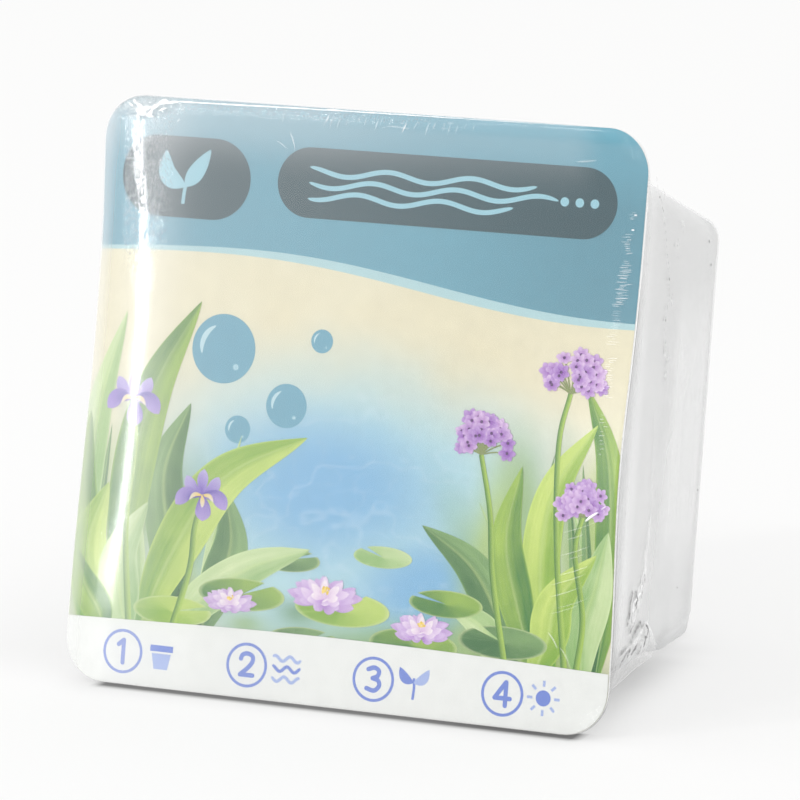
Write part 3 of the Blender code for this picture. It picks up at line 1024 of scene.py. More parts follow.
def water_lily(layer, cu, cv, size, lift, seed):
    """An open lilac flower seen from a little above."""
    rng = np.random.default_rng(seed)
    step = 0.0022
    k = 0
    rings = ((10, 1.0, 0.34, -0.05), (9, 0.84, 0.42, 0.04), (8, 0.64, 0.50, 0.12), (6, 0.42, 0.55, 0.18))
    for ring, (count, reach, flat, rise) in enumerate(rings):
        angles = (np.arange(count) + 0.5 * (ring % 2)) * 2 * math.pi / count + rng.normal(0, 0.06, count)
        for a in sorted(angles, key=lambda a: -math.sin(a)):
            tip = (
                cu + size * reach * math.cos(a),
                cv + size * (flat * reach * math.sin(a) + rise + 0.20 * reach * (1 + 0.3 * math.sin(a))),
            )
            petal(
                layer,
                (cu + 0.05 * size * math.cos(a), cv + size * rise * 0.3),
                tip,
                size * (0.30 - 0.035 * ring),
                [(168, 128, 196), (180, 140, 206), (196, 160, 216), (222, 196, 226)][ring],
                [(214, 190, 226), (222, 202, 232), (236, 222, 238), (246, 238, 240)][ring],
                lift + k * step,
                0.55,
                rng.normal(0, 0.05),
                seed=seed + k,
            )
            k += 1
    for j in range(16):
        a, r = rng.uniform(0, 2 * math.pi), size * 0.12 * math.sqrt(rng.uniform())
        disc(
            layer,
            cu + r * math.cos(a),
            cv + size * 0.26 + r * 0.7 * math.sin(a),
            size * 0.028,
            size * 0.034,
            lift + (k + j) * step * 0.6 + 0.03,
            ink(*[(236, 206, 104), (246, 224, 140)][j % 2]),
            1,
            8,
        )


def pad(layer, cu, cv, ru, rv, tone, lift, notch, seed):
    """A floating lily pad with its notch, veins and lit rim."""
    dark, light = (ink(*c) for c in LEAVES[tone])

    def colour(u, v, k):
        a = np.arctan2((v - cv) / rv, (u - cu) / ru)
        veins = np.exp(-((np.sin(a * 6 + 0.4) / 0.16) ** 2)) * k * 0.8
        x = 0.35 + 0.35 * np.sin(a * 1.0 + 0.9) + 0.22 * fbm(u / 5, v / 4, 60 + seed)
        made = mix(dark, light, np.clip(x, 0, 1))
        made = mix(made, light * 1.05, 0.35 * np.clip(veins, 0, 1))
        return mix(made, ink(212, 224, 176), 0.6 * smooth(0.93, 1.0, k))

    disc(layer, cu, cv, ru, rv, lift, colour, 9, 64, notch + 0.13, 1 - 0.26 / (2 * math.pi))


def umbel(layer, top, reach, lift, seed):
    """A round head of small lilac flowers on fine stalks."""
    rng = np.random.default_rng(seed)
    step, k = 0.0016, 0
    heads = []
    for _ in range(30):
        a, r = rng.uniform(-0.5, math.pi + 0.5), reach * math.sqrt(rng.uniform(0.05, 1))
        heads.append((top[0] + r * math.cos(a), top[1] + 0.35 * reach + 0.85 * r * math.sin(a)))
    for h in heads:
        ribbon(
            layer,
            [top, ((top[0] + h[0]) / 2, (top[1] * 1.0 + h[1]) / 2 + 0.4), h],
            0.32,
            lift + k * 0.0003,
            ink(150, 160, 118),
            8,
            2,
        )
        k += 1
    k = 0
    for h in sorted(heads, key=lambda h: -math.hypot(h[0] - top[0], h[1] - top[1] - 0.4 * reach)):
        size, spin = rng.uniform(1.9, 2.7), rng.uniform(0, 1)
        tilt = rng.uniform(0.65, 1.0)
        shade = rng.uniform(0, 1)
        inner = (150 + 30 * shade, 104 + 34 * shade, 180 + 16 * shade)
        outer = (196 + 34 * shade, 166 + 42 * shade, 216 + 18 * shade)
        for j in range(6):
            a = (j + spin) * math.pi / 3
            petal(
                layer,
                h,
                (h[0] + size * math.cos(a), h[1] + size * tilt * math.sin(a)),
                size * 0.62,
                inner,
                outer,
                lift + 0.012 + (k * 2 + j % 2) * step,
                0.6,
                seed=j,
            )
        disc(layer, h[0], h[1], 0.42, 0.42, lift + 0.014 + (k * 2 + 2) * step, ink(118, 70, 130), 1, 8)
        k += 1


def iris(layer, at, size, lift, seed):
    """A lilac-blue flag flower: three falls and three standards."""
    u, v = at
    rng = np.random.default_rng(seed)
    k = 0
    for du, dv, w, bend in ((-0.62, 0.62, 0.42, 0.12), (0.58, 0.66, 0.42, -0.12), (0.02, 0.88, 0.40, 0.03)):
        petal(layer, (u, v), (u + du * size, v + dv * size), w * size, (140, 118, 196), (196, 184, 226), lift + k * 0.003, 0.62, bend, 0.3, seed + k)
        k += 1
    for du, dv, w, bend in ((-0.95, -0.38, 0.50, -0.22), (0.92, -0.42, 0.50, 0.22), (0.08, -0.86, 0.58, 0.04)):
        petal(layer, (u, v), (u + du * size, v + dv * size), w * size, (112, 84, 176), (186, 166, 222), lift + k * 0.003, 0.66, bend, 0.35, seed + k)
        petal(
            layer,
            (u, v),
            (u + du * size * 0.48, v + dv * size * 0.48),
            w * size * 0.28,
            (240, 206, 96),
            (232, 226, 214),
            lift + 0.002 + k * 0.003,
            0.5,
            bend,
            0.1,
            seed + k,
        )
        k += 1


def make_plants():
    rng = np.random.default_rng(5)
    layer = Layer()
    lift = 0.052
    # far blades, pale and thin
    for k in range(16):
        side = -1 if k % 2 else 1
        x0 = side * rng.uniform(34, 73)
        h = rng.uniform(26, 58)
        lean = rng.normal(0, 7) - side * 3
        leaf(
            layer,
            [(x0, -62), (x0 + lean * 0.3, -62 + h * 0.5), (x0 + lean, -62 + h)],
            rng.uniform(2.0, 3.6),
            "pale" if k % 3 else "cool",
            lift + k * 0.002,
            rng.choice([-0.4, 0.4]),
            seed=k,
            peak=0.35,
        )
    lift += 0.034
    long, wide = ((92, 41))
    # broad blades on the left
    left = [
        ([(-45, -63), (-47, -40), (-50, -20), (-44, -2)], 12.0, "cool", 0.5),
        ([(-71, -63), (-73.0, -30), (-71.0, -4), (-64.5, 20)], 9.5, "pale", 0.5),
        ([(-38, -63), (-33, -48), (-30, -36), (-33, -22)], 11.0, "cool", -0.4),
        ([(-60, -63), (-60, -28), (-55, 0), (-43, 24)], 12.5, "green", -0.5),
        ([(-66, -63), (-70, -44), (-73.4, -26), (-73.8, -6)], 8.5, "green", 0.4),
        ([(-55, -63), (-46, -40), (-33, -20), (-11, -8)], 13.5, "lime", -0.4),
        ([(-48, -63), (-38, -52), (-24, -42), (-8, -36)], 10.5, "pale", 0.5),
        ([(-70, -63), (-69.5, -50), (-70.5, -38), (-66, -24)], 12.0, "lime", -0.5),
        ([(-57, -63), (-60, -53), (-61, -42), (-54, -28)], 12.0, "pale", 0.5),
        ([(-64, -63), (-66, -57), (-71, -50), (-74, -42)], 9.0, "green", 0.4),
    ]
    for k, (points, width, tone, turn) in enumerate(left):
        leaf(layer, points, width, tone, lift + k * 0.0028, turn, seed=20 + k, peak=0.46, count=long, cross=wide)
    # broad blades on the right
    right = [
        ([(71, -63), (73.5, -36), (72.0, -8), (64, 11)], 8.5, "green", -0.5),
        ([(48, -63), (44, -48), (36, -36), (22, -27)], 10.5, "cool", -0.4),
        ([(60, -63), (55, -38), (57, -16), (68, 2)], 10.5, "lime", 0.5),
        ([(56, -63), (49, -44), (45, -28), (48, -10)], 10.0, "green", 0.5),
        ([(68, -63), (67, -50), (70, -38), (73, -24)], 11.5, "pale", -0.5),
        ([(54, -63), (58, -52), (60, -42), (70, -30)], 11.0, "lime", 0.4),
        ([(46, -63), (44, -56), (39, -50), (31, -47)], 8.5, "pale", 0.4),
    ]
    for k, (points, width, tone, turn) in enumerate(right):
        leaf(layer, points, width, tone, lift + k * 0.0028, turn, seed=40 + k, peak=0.46, count=long, cross=wide)
    layer.make("print_leaves")

    layer = Layer()
    lift = 0.118
    heads = (
        ([(63, -60), (59, -30), (57.5, -4), (59.5, 9)], 8.6),
        ([(47, -60), (42, -38), (40, -22), (36.5, -8)], 8.0),
        ([(66, -60), (67, -46), (64, -30), (65.5, -21)], 6.4),
    )
    for k, (points, reach) in enumerate(heads):
        stem(layer, points, 1.7, lift + k * 0.003)
    for k, (points, reach) in enumerate(heads):
        umbel(layer, points[-1], reach, lift + 0.014, 70 + k)
    flags = (([(-57, -60), (-60, -34), (-59, -14), (-60.5, -4)], 8.4), ([(-45, -60), (-41, -44), (-40.5, -34), (-39, -27)], 7.6))
    for k, (points, size) in enumerate(flags):
        stem(layer, points, 1.8, lift + k * 0.003)
        iris(layer, (points[-1][0], points[-1][1] + 2.0), size, lift + 0.016, 90 + k)
    layer.make("print_flowers")

    layer = Layer()
    lift = 0.100
    for k, (cu, cv, ru, tone, notch) in enumerate(
        (
            (-14, -39, 9, "cool", 0.6),
            (12, -36, 8, "pale", 2.3),
            (30, -46, 10, "green", 2.6),
            (-26, -49, 12, "green", 0.9),
            (2, -50, 13, "lime", 1.2),
            (46, -54, 12, "cool", 2.2),
            (-45, -55, 11, "lime", 0.4),
            (22, -57, 12, "green", 1.9),
            (-8, -59, 10, "cool", 0.8),
        )
    ):
        pad(layer, cu, cv, ru, ru * 0.34, tone, lift + k * 0.003, notch, k)
    layer.make("print_pads")
    layer = Layer()
    water_lily(layer, -3.0, -48.5, 10.5, 0.150, 7)
    water_lily(layer, 24.0, -54.0, 8.6, 0.150, 8)
    water_lily(layer, -29.0, -52.0, 7.6, 0.150, 9)
    layer.make("print_lilies")


# ---- the strip of numbered steps
STRIP_TOP = -58.5


NUMERALS = (  # strokes of the numerals: points, and whether they bend smoothly
    (([(-1.3, 1.7), (0.15, 2.9)], False), ([(0.15, 2.9), (0.15, -2.9)], False)),
    (
        ([(-1.7, 1.5), (-1.3, 2.5), (0.0, 2.95), (1.4, 2.4), (1.6, 1.2), (0.6, -0.4), (-1.7, -2.5)], True),
        ([(-1.7, -2.5), (1.8, -2.5)], False),
    ),
    (
        ([(-1.5, 2.4), (0.1, 2.95), (1.4, 2.2), (1.1, 0.9), (-0.2, 0.25)], True),
        ([(-0.2, 0.25), (1.3, -0.2), (1.7, -1.5), (0.4, -2.8), (-1.7, -2.4)], True),
    ),
    (([(0.8, 2.9), (-2.0, -1.1)], False), ([(-2.0, -1.1), (2.1, -1.1)], False), ([(0.9, 2.9), (0.9, -2.9)], False)),
)


def make_steps():
    layer = Layer()
    inset = 0.08
    us = columns(-CARD_HALF + inset, CARD_HALF - inset)
    low = -edge_v(us) + inset
    top = STRIP_TOP + 1.1 * np.cos(us / 38.0)
    top = np.maximum(top, low + 0.05)
    keep = low < top - 0.06
    band(layer, us[keep], low[keep], top[keep], 12, 0.262, ink(234, 235, 232))
    layer.make("print_strip")

    layer = Layer()
    violet, pale = ink(134, 152, 214), ink(176, 190, 228)
    cv = -66.6
    for k, cu in enumerate((-54.0, -19.0, 16.0, 51.0)):
        a = np.linspace(0, 2 * math.pi, 61)
        ribbon(
            layer,
            np.stack([cu - 4 + 5.3 * np.cos(a), cv + 5.3 * np.sin(a)], -1),
            0.75,
            0.274,
            violet,
            cross=2,
            raw=True,
        )
        for j, (points, smooth_line) in enumerate(NUMERALS[k]):
            points = np.array(points) + (cu - 4, cv)
            path = curve(points, 40) if smooth_line else points[0] + np.linspace(0, 1, 16)[:, None] * (points[1] - points[0])
            lift = 0.274 + 0.004 * j
            ribbon(layer, path, 1.15, lift, violet, cross=3, raw=True)
            for end in (path[0], path[-1]):
                disc(layer, end[0], end[1], 0.575, 0.575, lift + 0.002, violet, 2, 20)
        x = cu + 7.0
        if k == 0:  # a pot
            us = np.linspace(x - 3.2, x + 3.2, 15)
            band(layer, us, np.full(15, cv + 0.9), np.full(15, cv + 2.5), 2, 0.274, violet)
            taper = np.linspace(-1, 1, 13)
            u = x + taper[None, :] * np.array([[1.9], [2.7]])
            v = np.array([[cv - 3.6], [cv + 0.4]]) + 0 * u
            layer.grid(u, v, 0.274, pale)
        elif k == 1:  # water
            for j in range(3):
                u = np.linspace(x - 4, x + 4, 40)
                path = np.stack([u, cv + 2.6 - 2.6 * j + 0.65 * np.sin(u * 1.55 + j)], -1)
                ribbon(layer, path, lambda t: 0.85 * capped(t), 0.274, violet if j % 2 else pale, cross=2, raw=True)
        elif k == 2:  # a seedling
            ribbon(layer, [(x, cv - 4), (x + 0.2, cv - 1), (x, cv + 1.4)], 0.7, 0.274, violet, 12, 2)
            for s, c in ((-1, violet), (1, pale)):
                ribbon(
                    layer,
                    [(x, cv + 0.2), (x + s * 2.4, cv + 1.2), (x + s * 4.0, cv + 3.8)],
                    lambda t: 2.5 * np.sin(math.pi * np.clip(t, 0.01, 0.99)) ** 0.8,
                    0.276,
                    c,
                    16,
                    3,
                )
        else:  # the sun
            disc(layer, x, cv, 2.0, 2.0, 0.274, violet, 2, 30)
            for j in range(8):
                a = j * math.pi / 4
                ribbon(
                    layer,
                    [(x + 2.9 * math.cos(a), cv + 2.9 * math.sin(a)), (x + 4.4 * math.cos(a), cv + 4.4 * math.sin(a))],
                    0.7,
                    0.274,
                    pale,
                    4,
                    2,
                )
    layer.make("print_numbers")


# ------------------------------------------------------------------ the tub
def make_tub():
    """The tapered tub: wall, rounded rim, foot ring and recessed base panel."""
    corner, side = 16, 26
    anchors, normals = outline(corner, side)
    count = len(anchors)
    wall = 1.0
    rows = []  # (n, half, radius), from the inside's middle round to the base's middle

    def inside(n):
        half, radius = tub_section(n)
        return n, half - wall, max(radius - wall, 1.0)

    floor_n = BASE_N + wall
    inner_half, inner_radius = tub_section(floor_n)
    for k in range(6):
        t = k / 5
        rows.append((floor_n + 0.9, (inner_half - 9.0) * (0.15 + 0.85 * t), 4.0 * (0.15 + 0.85 * t)))
    rows.append((floor_n, inner_half - 7.0, 4.5))
    rows.append((floor_n, inner_half - 3.4, 4.4))
    rows.append((floor_n + 0.5, inner_half - 1.7, 4.8))
    rows.append((floor_n + 1.7, inner_half - wall - 0.05, 5.1))
    for n in np.linspace(floor_n + 4, MOUTH_N - 0.7, 26):
        rows.append(inside(n))
    half, radius = tub_section(MOUTH_N)
    for angle in (20, 55, 90, 125, 160):
        a = math.radians(angle)
        rows.append(
            (MOUTH_N - 0.5 + 0.5 * math.sin(a), half - 0.5 - 0.5 * math.cos(a), radius - 0.5 - 0.5 * math.cos(a))
        )
    for n in np.linspace(MOUTH_N - 0.7, BASE_N + BASE_EDGE_R + 1.0, 30):
        rows.append((n, *tub_section(n)))
    rows += base_profile(0.0, 8)
    for inset, rise in ((4.0, 0.0), (5.6, 0.0), (6.2, 0.15), (6.8, 0.75), (7.4, 0.9), (10.0, 0.9)):
        rows.append((BASE_N + rise, BASE_HALF - inset - 2.0, max(4.0 - inset * 0.2, 2.2)))
    for k in range(1, 7):
        t = 1 - k / 6.6
        rows.append((BASE_N + 0.9, (BASE_HALF - 12.0) * t, 2.2 * t))
    verts, places = [], []
    for n, half, radius in rows:
        p = (half - radius) * anchors + radius * normals
        verts.append(package(p[:, 0], p[:, 1], np.full(count, n)))
        places.append(np.stack([p[:, 0], p[:, 1], np.full(count, n)], -1))
    faces = ring_quads(len(rows), count)
    verts, places = np.concatenate(verts), np.concatenate(places)
    # close the two middles
    first = np.arange(count)
    last = np.arange(count) + (len(rows) - 1) * count
    caps = []
    extra = []
    for ring, n, flip in ((first, floor_n + 0.9, False), (last, BASE_N + 0.9, True)):
        centre = len(verts) + len(extra)
        extra.append((0.0, 0.0, n))
        nxt = np.roll(ring, -1)
        tri = np.stack([np.full(count, centre), ring, nxt], -1)
        caps.append(tri[:, ::-1] if flip else tri)
    extra = np.array(extra)
    verts = np.concatenate([verts, package(extra[:, 0], extra[:, 1], extra[:, 2])])
    places = np.concatenate([places, extra])
    tub = build("tub_shell", verts, [faces, np.concatenate(caps)], pkg=places)
    tub.data.materials.append(TUB)
    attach(tub, "root")
    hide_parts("tub")


# ------------------------------------------------------------------ the film
LIP = ((0.16, 75.08, 11.58), (-0.20, 75.14, 11.62), (-0.60, 75.12, 11.60), (-1.60, 74.75, 11.60))


def smoother(low, high, x):
    t = np.clip((np.asarray(x, float) - low) / (high - low), 0.0, 1.0)
    return t**3 * (t * (6 * t - 15) + 10)


def film_side(n):
    """(half, radius, share of the card's bend) of the film behind the lip."""
    half, radius = tub_section(n)
    t = np.clip((n - FILM_ON_TUB_N) / (-1.60 - FILM_ON_TUB_N), 0, 1)
    lead = 74.80 - tub_section(-1.60)[0] - 0.3
    share = t**1.55
    return half + FILM_OFF + lead * share, radius + FILM_OFF + (11.7 - radius) * share, share


def front_lift(u, v):
    """How far the film's skin stands off the card's face, with its wrinkles."""
    u, v = np.asarray(u, float), np.asarray(v, float)
    lift = np.full(u.shape, FILM_OFF)
    # near the left edge the film bridges the bend, which tips it further back
    share = 1.22 * (1 - smooth(-34, 12, v)) - 0.36 * np.exp(-(((v - 36) / 14) ** 2)) + 0.5 * smoother(50, 74, v)
    x = np.clip((-u - 53.0) / 11.5, 0, 1)
    drop = 0.062 * (11.5 * (x**3 - x**4 / 2) + np.maximum(0.0, -u - 64.5))
    more = (share + np.sqrt(share**2 + 0.01)) / 2
    lift += (more * (1.0 - drop) + (more - share) * drop) * (1 - smooth(-50, 0, u))
    # crinkles gathered along the top left corner
    near = np.clip(1 - smooth(-60, -40, u), 0, 1) * smooth(69.5, 72.5, v)
    corner = (1 - smooth(-66, -54, u)) * smooth(68.5, 71.5, v)
    crinkle = ridged(u / 5.5 + v / 9, v / 2.6 - u / 14, 4)
    lift += (crinkle - 0.55) * 0.30 * np.maximum(near, corner)
    # the same, slighter, in the other corners and along the edges
    for su, sv, size in ((1, 1, 0.5), (1, -1, 0.6), (-1, -1, 0.5)):
        c = smooth(58, 71, su * u) * smooth(58, 71, sv * v)
        lift += (ridged(u / 6, v / 6, 8) - 0.5) * 0.18 * size * c
    edge = smooth(66, 74, np.maximum(np.abs(u), np.abs(v)))
    lift += fbm(u / 7, v / 7, 14) * 0.03 * edge + fbm(u / 30, v / 30, 15) * 0.05 * smooth(-52, -30, u)
    return np.maximum(lift, 0.335)


def film_values(u, v, n):
    """Orange peel strength on the front: strong near the left edge."""
    peel = 0.02 + (1 - smooth(-64, -46, u)) * smooth(-69.5, -67, u) * (0.08 + 0.50 * smooth(20, 45, v)) * smooth(-66, -52, v)
    crease = 0.9 * (1 - smooth(-66, -50, u)) * smooth(68.5, 72.5, v)
    crease += 0.30 * smooth(70, 74, v) * (1 - smooth(10, 40, u))
    for su, sv in ((1, 1), (1, -1), (-1, -1)):
        crease += 0.35 * smooth(64, 74, su * u) * smooth(64, 74, sv * v)
    return peel, np.clip(crease, 0, 1)


def front_painted_sheen(u, v):
    """Painted sheen of the soft light on its left, given as milkiness of the skin over the card, with a pale painted
    reflection along the left edge. It levels off near 0.2, and the rest is given as a share that pales the ink."""
    haze = 0.125 * (1 - smooth(-75, 75, u)) + 0.155 * np.exp(-(((u + 58) / 9) ** 2))
    haze = haze + smoother(52, 73, v) ** 1.3 * (0.15 + 0.09 * (1 - smooth(-25, 30, u))) * (1 - smooth(54, 64, u))
    kept = haze - 0.012 * np.logaddexp(0.0, (haze - 0.205) / 0.012)
    return kept + 0.36 * (1 - smooth(-74.5, -69.5, u)), (haze - kept) / (1 - kept)


def paled_by_painted_sheen(u, v, colours):
    """Ink colours paled by the painted sheen of the soft light, where it is stronger than the skin carries."""
    rest = front_painted_sheen(u, v)[1][..., None]
    return colours * (1 - rest) + 0.80 * rest


def front_reflection_shade(u, v):
    """Painted shade: where the skin's reflection is damped, at the foot of the left edge, which fades the highlight
    there, and along the right half of the top edge."""
    foot = (0.55 * (1 - smooth(-52, -44, v)) + 0.40 * (1 - smooth(-60, -52, v))) * (1 - smooth(-44, -36, u))
    return np.clip(foot + 0.8 * smooth(70, 72, v) * smooth(-20, 10, u), 0, 0.97)


def make_film():
    # the front and the lip
    cells = 200
    u, v = card_grid(cells, CARD_HALF, CARD_R)
    u, v = u * 74.9 / 75.0, v * 74.9 / 75.0
    x, y, n = card_point(u, v)
    lift = front_lift(u, v)
    peel, crease = film_values(u, v, n)
    last = cells
    ring = np.array(
        [(last, j) for j in range(0, last)]
        + [(i, last) for i in range(last, 0, -1)]
        + [(0, j) for j in range(last, 0, -1)]
        + [(i, 0) for i in range(0, last)]
    )
    index = np.arange(u.size).reshape(u.shape)
    verts = [package(x, y, n + lift)]
    places = [np.stack([u.ravel(), v.ravel(), n.ravel()], -1)]
    peels, creases = [peel.ravel()], [crease.ravel()]
    ru, rv = u[ring[:, 0], ring[:, 1]], v[ring[:, 0], ring[:, 1]]
    inner = 74.9 - 11.4
    au, av = np.sign(ru) * np.minimum(np.abs(ru), inner), np.sign(rv) * np.minimum(np.abs(rv), inner)
    nu, nv = ru - au, rv - av
    size = np.maximum(np.hypot(nu, nv), 1e-9)
    nu, nv = nu / size, nv / size
    wobble = fbm(np.arctan2(rv, ru) * 14, 0 * ru, 77)
    rows = [index[ring[:, 0], ring[:, 1]]]
    start = u.size
    bu, _, bn = card_point(ru, rv)
    for depth, half, radius in LIP:
        px = au / inner * (half - radius) + nu * radius
        py = av / inner * (half - radius) + nv * radius
        px, py = px + nu * 0.02 * wobble, py + nv * 0.02 * wobble
        verts.append(package(px + (bu - ru), py, depth + bn))
        places.append(np.stack([px, py, np.full(len(px), depth)], -1))
        peels.append(np.full(len(px), 0.8))
        creases.append(np.full(len(px), 0.15))
        rows.append(np.arange(len(px)) + start)
        start += len(px)
    rows = np.stack(rows)
    rows = np.concatenate([rows, rows[:, :1]], 1)
    lip = np.stack([rows[:-1, :-1], rows[1:, :-1], rows[1:, 1:], rows[:-1, 1:]], -1).reshape(-1, 4)
    total = np.concatenate(peels)
    front = build(
        "film_front",
        np.concatenate(verts),
        np.concatenate([quads(index), lip]),
        pkg=np.concatenate(places),
        values={
            "peel": total,
            "crease": np.concatenate(creases),
            "dark": front_reflection_shade(*np.concatenate(places)[:, :2].T),
            "milk_and_sheen": front_painted_sheen(*np.concatenate(places)[:, :2].T)[0],
        },
    )
    front.data.materials.append(FILM)
    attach(front, "root")
    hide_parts("shrink_film")

    # the sides and the base
    corner, side = ((26, 134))
    anchors, normals = outline(corner, side)
    count = len(anchors)
    angle = np.degrees(np.arctan2(normals[:, 1], normals[:, 0]))
    depths = np.concatenate(
        [
            -1.60 - 8.4 * np.linspace(0, 1, 9) ** 1.3,
            np.linspace(-11.2, -107.0, 84),
        ]
    )
    rows = [(d, *film_side(d)) for d in depths]
    rows[0] = (-1.60, 74.75, 11.60, 1.0)
    rows += [(d, h, r, 0.0) for d, h, r in base_profile(FILM_OFF, 6)[1:]]
    d, h, r = rows[-1][0], rows[-1][1], rows[-1][2]
    for t in np.linspace(0, 1, 24)[1:]:
        rows.append((d, h * (1 - t) + 0.4 * t, max(r * (1 - t), 0.2), 0.0))
    flat = (CARD_HALF - CARD_R) * anchors + CARD_R * normals
    bent_u, _, bent_n = card_point(flat[:, 0], flat[:, 1])
    verts, places, peels, creases, darks, milk_and_sheens = [], [], [], [], [], []
    for row, (depth, half, radius, share) in enumerate(rows):
        p = (half - radius) * anchors + radius * normals
        along = np.where(np.abs(normals[:, 0]) > 0.7, p[:, 1], p[:, 0])
        on_side = row < len(depths)
        n = np.full(count, float(depth))
        out = np.zeros(count)
        dark = np.zeros(count)
        milk_and_sheen = np.zeros(count)
        crease = np.zeros(count)
        whole = np.degrees(np.unwrap(np.radians(angle)))
        key = along / 9.0 + np.floor((whole + 45) / 90) * 31
        if on_side:
            fade = 1 - smooth(22, 46, -depth)
            streak = fbm(key * 2.6, np.full(count, depth / 26), 31)
            out += 0.05 * fade * streak * smooth(1.6, 7, -depth)
            out += 0.13 * fbm(key * 0.7, np.full(count, depth / 16), 33)
            long = fbm(key * 1.3 + depth / 60, np.full(count, depth / 44), 35)
            out += 0.10 * np.maximum(long, 0) * 2
            # pleats that gather round each corner of the mouth and of the base
            bend = np.exp(-(((np.abs(np.abs(normals[:, 0]) - 0.7071)) / 0.42) ** 2))
            gather = bend * (np.exp(-(((depth + 9) / 9) ** 2)) * 0.8 + np.exp(-(((depth + 106) / 12) ** 2)))
            pleat = ridged(whole / 9.0, np.full(count, depth / 16), 37)
            out += 0.42 * gather * (pleat - 0.35)
            crease += 0.45 * gather
            top_right = smooth(0.25, 0.7, normals[:, 1]) * smooth(40, 66, p[:, 0])
            out += 1.0 * top_right * np.exp(-(((depth + 22) / 13) ** 2))
            out += 1.3 * top_right * np.exp(-(((depth + 8) / 5) ** 2)) * ridged(whole / 7.0, np.full(count, depth / 9), 55) * smooth(2, 5, -depth)
            out = np.maximum(out, -0.05)
            full = np.exp(-(((angle + 45) / 28) ** 2)) * smooth(72, 85, -depth)
            out += 2.1 * full * (1 - smooth(103, 108, -depth))
        else:
            ringness = min(1.0, (row - len(depths) + 1) / 5)
            middle = half / 54.0
            n -= 0.10 * np.maximum(fbm(p[:, 0] / 11, p[:, 1] / 11, 39), 0) * ringness
            folds = ridged(whole / 11, np.full(count, middle * 1.5), 41)
            corners = smooth(30, 52, np.minimum(np.abs(p[:, 0]), np.abs(p[:, 1])))
            n -= 0.28 * corners * folds
            crease += 0.4 * corners
        q = p + normals * out[:, None]
        # the film is crumpled and cloudy round the lower right corner
        if on_side:
            window = smooth(20, 44, -depth) * (1 - smooth(96, 108, -depth))
            weight = window * smooth(44, 55, q[:, 0]) * (1 - smooth(-0.62, -0.08, normals[:, 1]))
            weight = weight * (q[:, 1] < 0)
            crease += 0.3 * weight
            milk_and_sheen = 0.22 * weight
        lowest = floor_v(depth) + 0.12
        q[:, 1] = np.maximum(q[:, 1], lowest)
        verts.append(package(q[:, 0] + share * (bent_u - flat[:, 0]), q[:, 1], n + share * bent_n))
        places.append(np.stack([p[:, 0], p[:, 1], n], -1))
        peels.append(np.full(count, 0.08))
        creases.append(np.clip(crease, 0, 1))
        # painted shade: the reflection is damped towards the top of the side and in a band beside the card; and a
        # painted sheen, low towards the back, is added to the milkiness
        high = smooth(-45, 60, p[:, 1]) if on_side else 0 * depth
        near = 0.42 * np.exp(-((n / 15) ** 2)) * (1 - smooth(15, 50, p[:, 1]))
        reflection_shade = 0.16 + 0.38 * high + near - 0.10 * smooth(50, 90, -n) * (1 - high)
        darks.append(dark + np.clip(reflection_shade, 0, 0.85))
        low = 1 - smooth(-45, 45, p[:, 1])
        milk_and_sheens.append(milk_and_sheen + 0.02 + 0.05 * smooth(35, 100, -n) + 0.30 * low * smooth(40, 90, -n))
    sides = build(
        "film_sides",
        np.concatenate(verts),
        ring_quads(len(rows), count),
        pkg=np.concatenate(places),
        values={
            "peel": np.concatenate(peels),
            "crease": np.concatenate(creases),
            "dark": np.concatenate(darks),
            "milk_and_sheen": np.concatenate(milk_and_sheens),
        },
    )
    sides.data.materials.append(FILM)
    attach(sides, "root")
    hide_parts("shrink_film")


def on_right(v, n, proud):
    """A point on the film's right side, proud millimetres outside it."""
    half, _, share = film_side(n)
    bu, _, bn = card_point(np.full(np.shape(v), CARD_HALF), v)
    return half + proud + share * (bu - CARD_HALF), v, n + share * bn


def on_lip(v, n, proud):
    """A point on the film's lip down the card's right edge."""
    half = np.interp(-n, [-row[0] for row in LIP], [row[1] for row in LIP]) + proud
    bu, _, bn = card_point(np.full(np.shape(v), CARD_HALF), v)
    return half + bu - CARD_HALF, v, n + bn


class Strokes:
    """Small domed marks on the film: stress-whitened dashes, painted glints and dark creases of painted shade."""

    def __init__(self, place):
        self.place = place  # (a, b, proud) -> u, v, n
        self.verts, self.pkg, self.faces, self.tone, self.cover, self.count = [], [], [], [], [], 0

    def add(self, points, width, height, tone, cover, count=8, cross=5, base=0.03, pointed=False):
        path = curve(points, count)
        tangent = np.gradient(path, axis=0)
        tangent /= np.maximum(np.hypot(*tangent.T)[:, None], 1e-9)
        side = np.stack([-tangent[:, 1], tangent[:, 0]], -1)
        t = np.linspace(0, 1, count)
        ends = np.sin(math.pi * np.clip(t, 0.01, 0.99)) if pointed else np.sqrt(np.clip(1 - np.abs(2 * t - 1) ** 3, 0.001, 1))
        w = width * ends
        s = np.linspace(-1, 1, cross)
        a = path[:, None, 0] + side[:, None, 0] * w[:, None] * s / 2
        b = path[:, None, 1] + side[:, None, 1] * w[:, None] * s / 2
        proud = base + height * (1 - s**2)[None, :] * (w / width)[:, None]
        u, v, n = self.place(a, b, proud)
        self.verts.append(package(u, v, n))
        self.pkg.append(np.stack([u.ravel(), v.ravel(), n.ravel()], -1))
        self.faces.append(quads(np.arange(a.size).reshape(a.shape) + self.count))
        soft = (1 - np.abs(s) ** 4)[None, :] * (w / width)[:, None]
        self.tone.append(np.full(a.size, float(tone)))
        self.cover.append((soft * cover).ravel())
        self.count += a.size

    def make(self, name, flip=False):
        faces = np.concatenate(self.faces)
        obj = build(
            name,
            np.concatenate(self.verts),
            faces[:, ::-1] if flip else faces,
            pkg=np.concatenate(self.pkg),
            values={"tone": np.concatenate(self.tone), "cover": np.concatenate(self.cover)},
        )
        obj.data.materials.append(MARK)
        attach(obj, "root")
        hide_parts("shrink_film")


def on_front(u, v, proud):
    """A point of the film over the card's face, proud millimetres outside it."""
    x, y, n = card_point(u, v)
    return x, y, n + front_lift(u, v) + proud


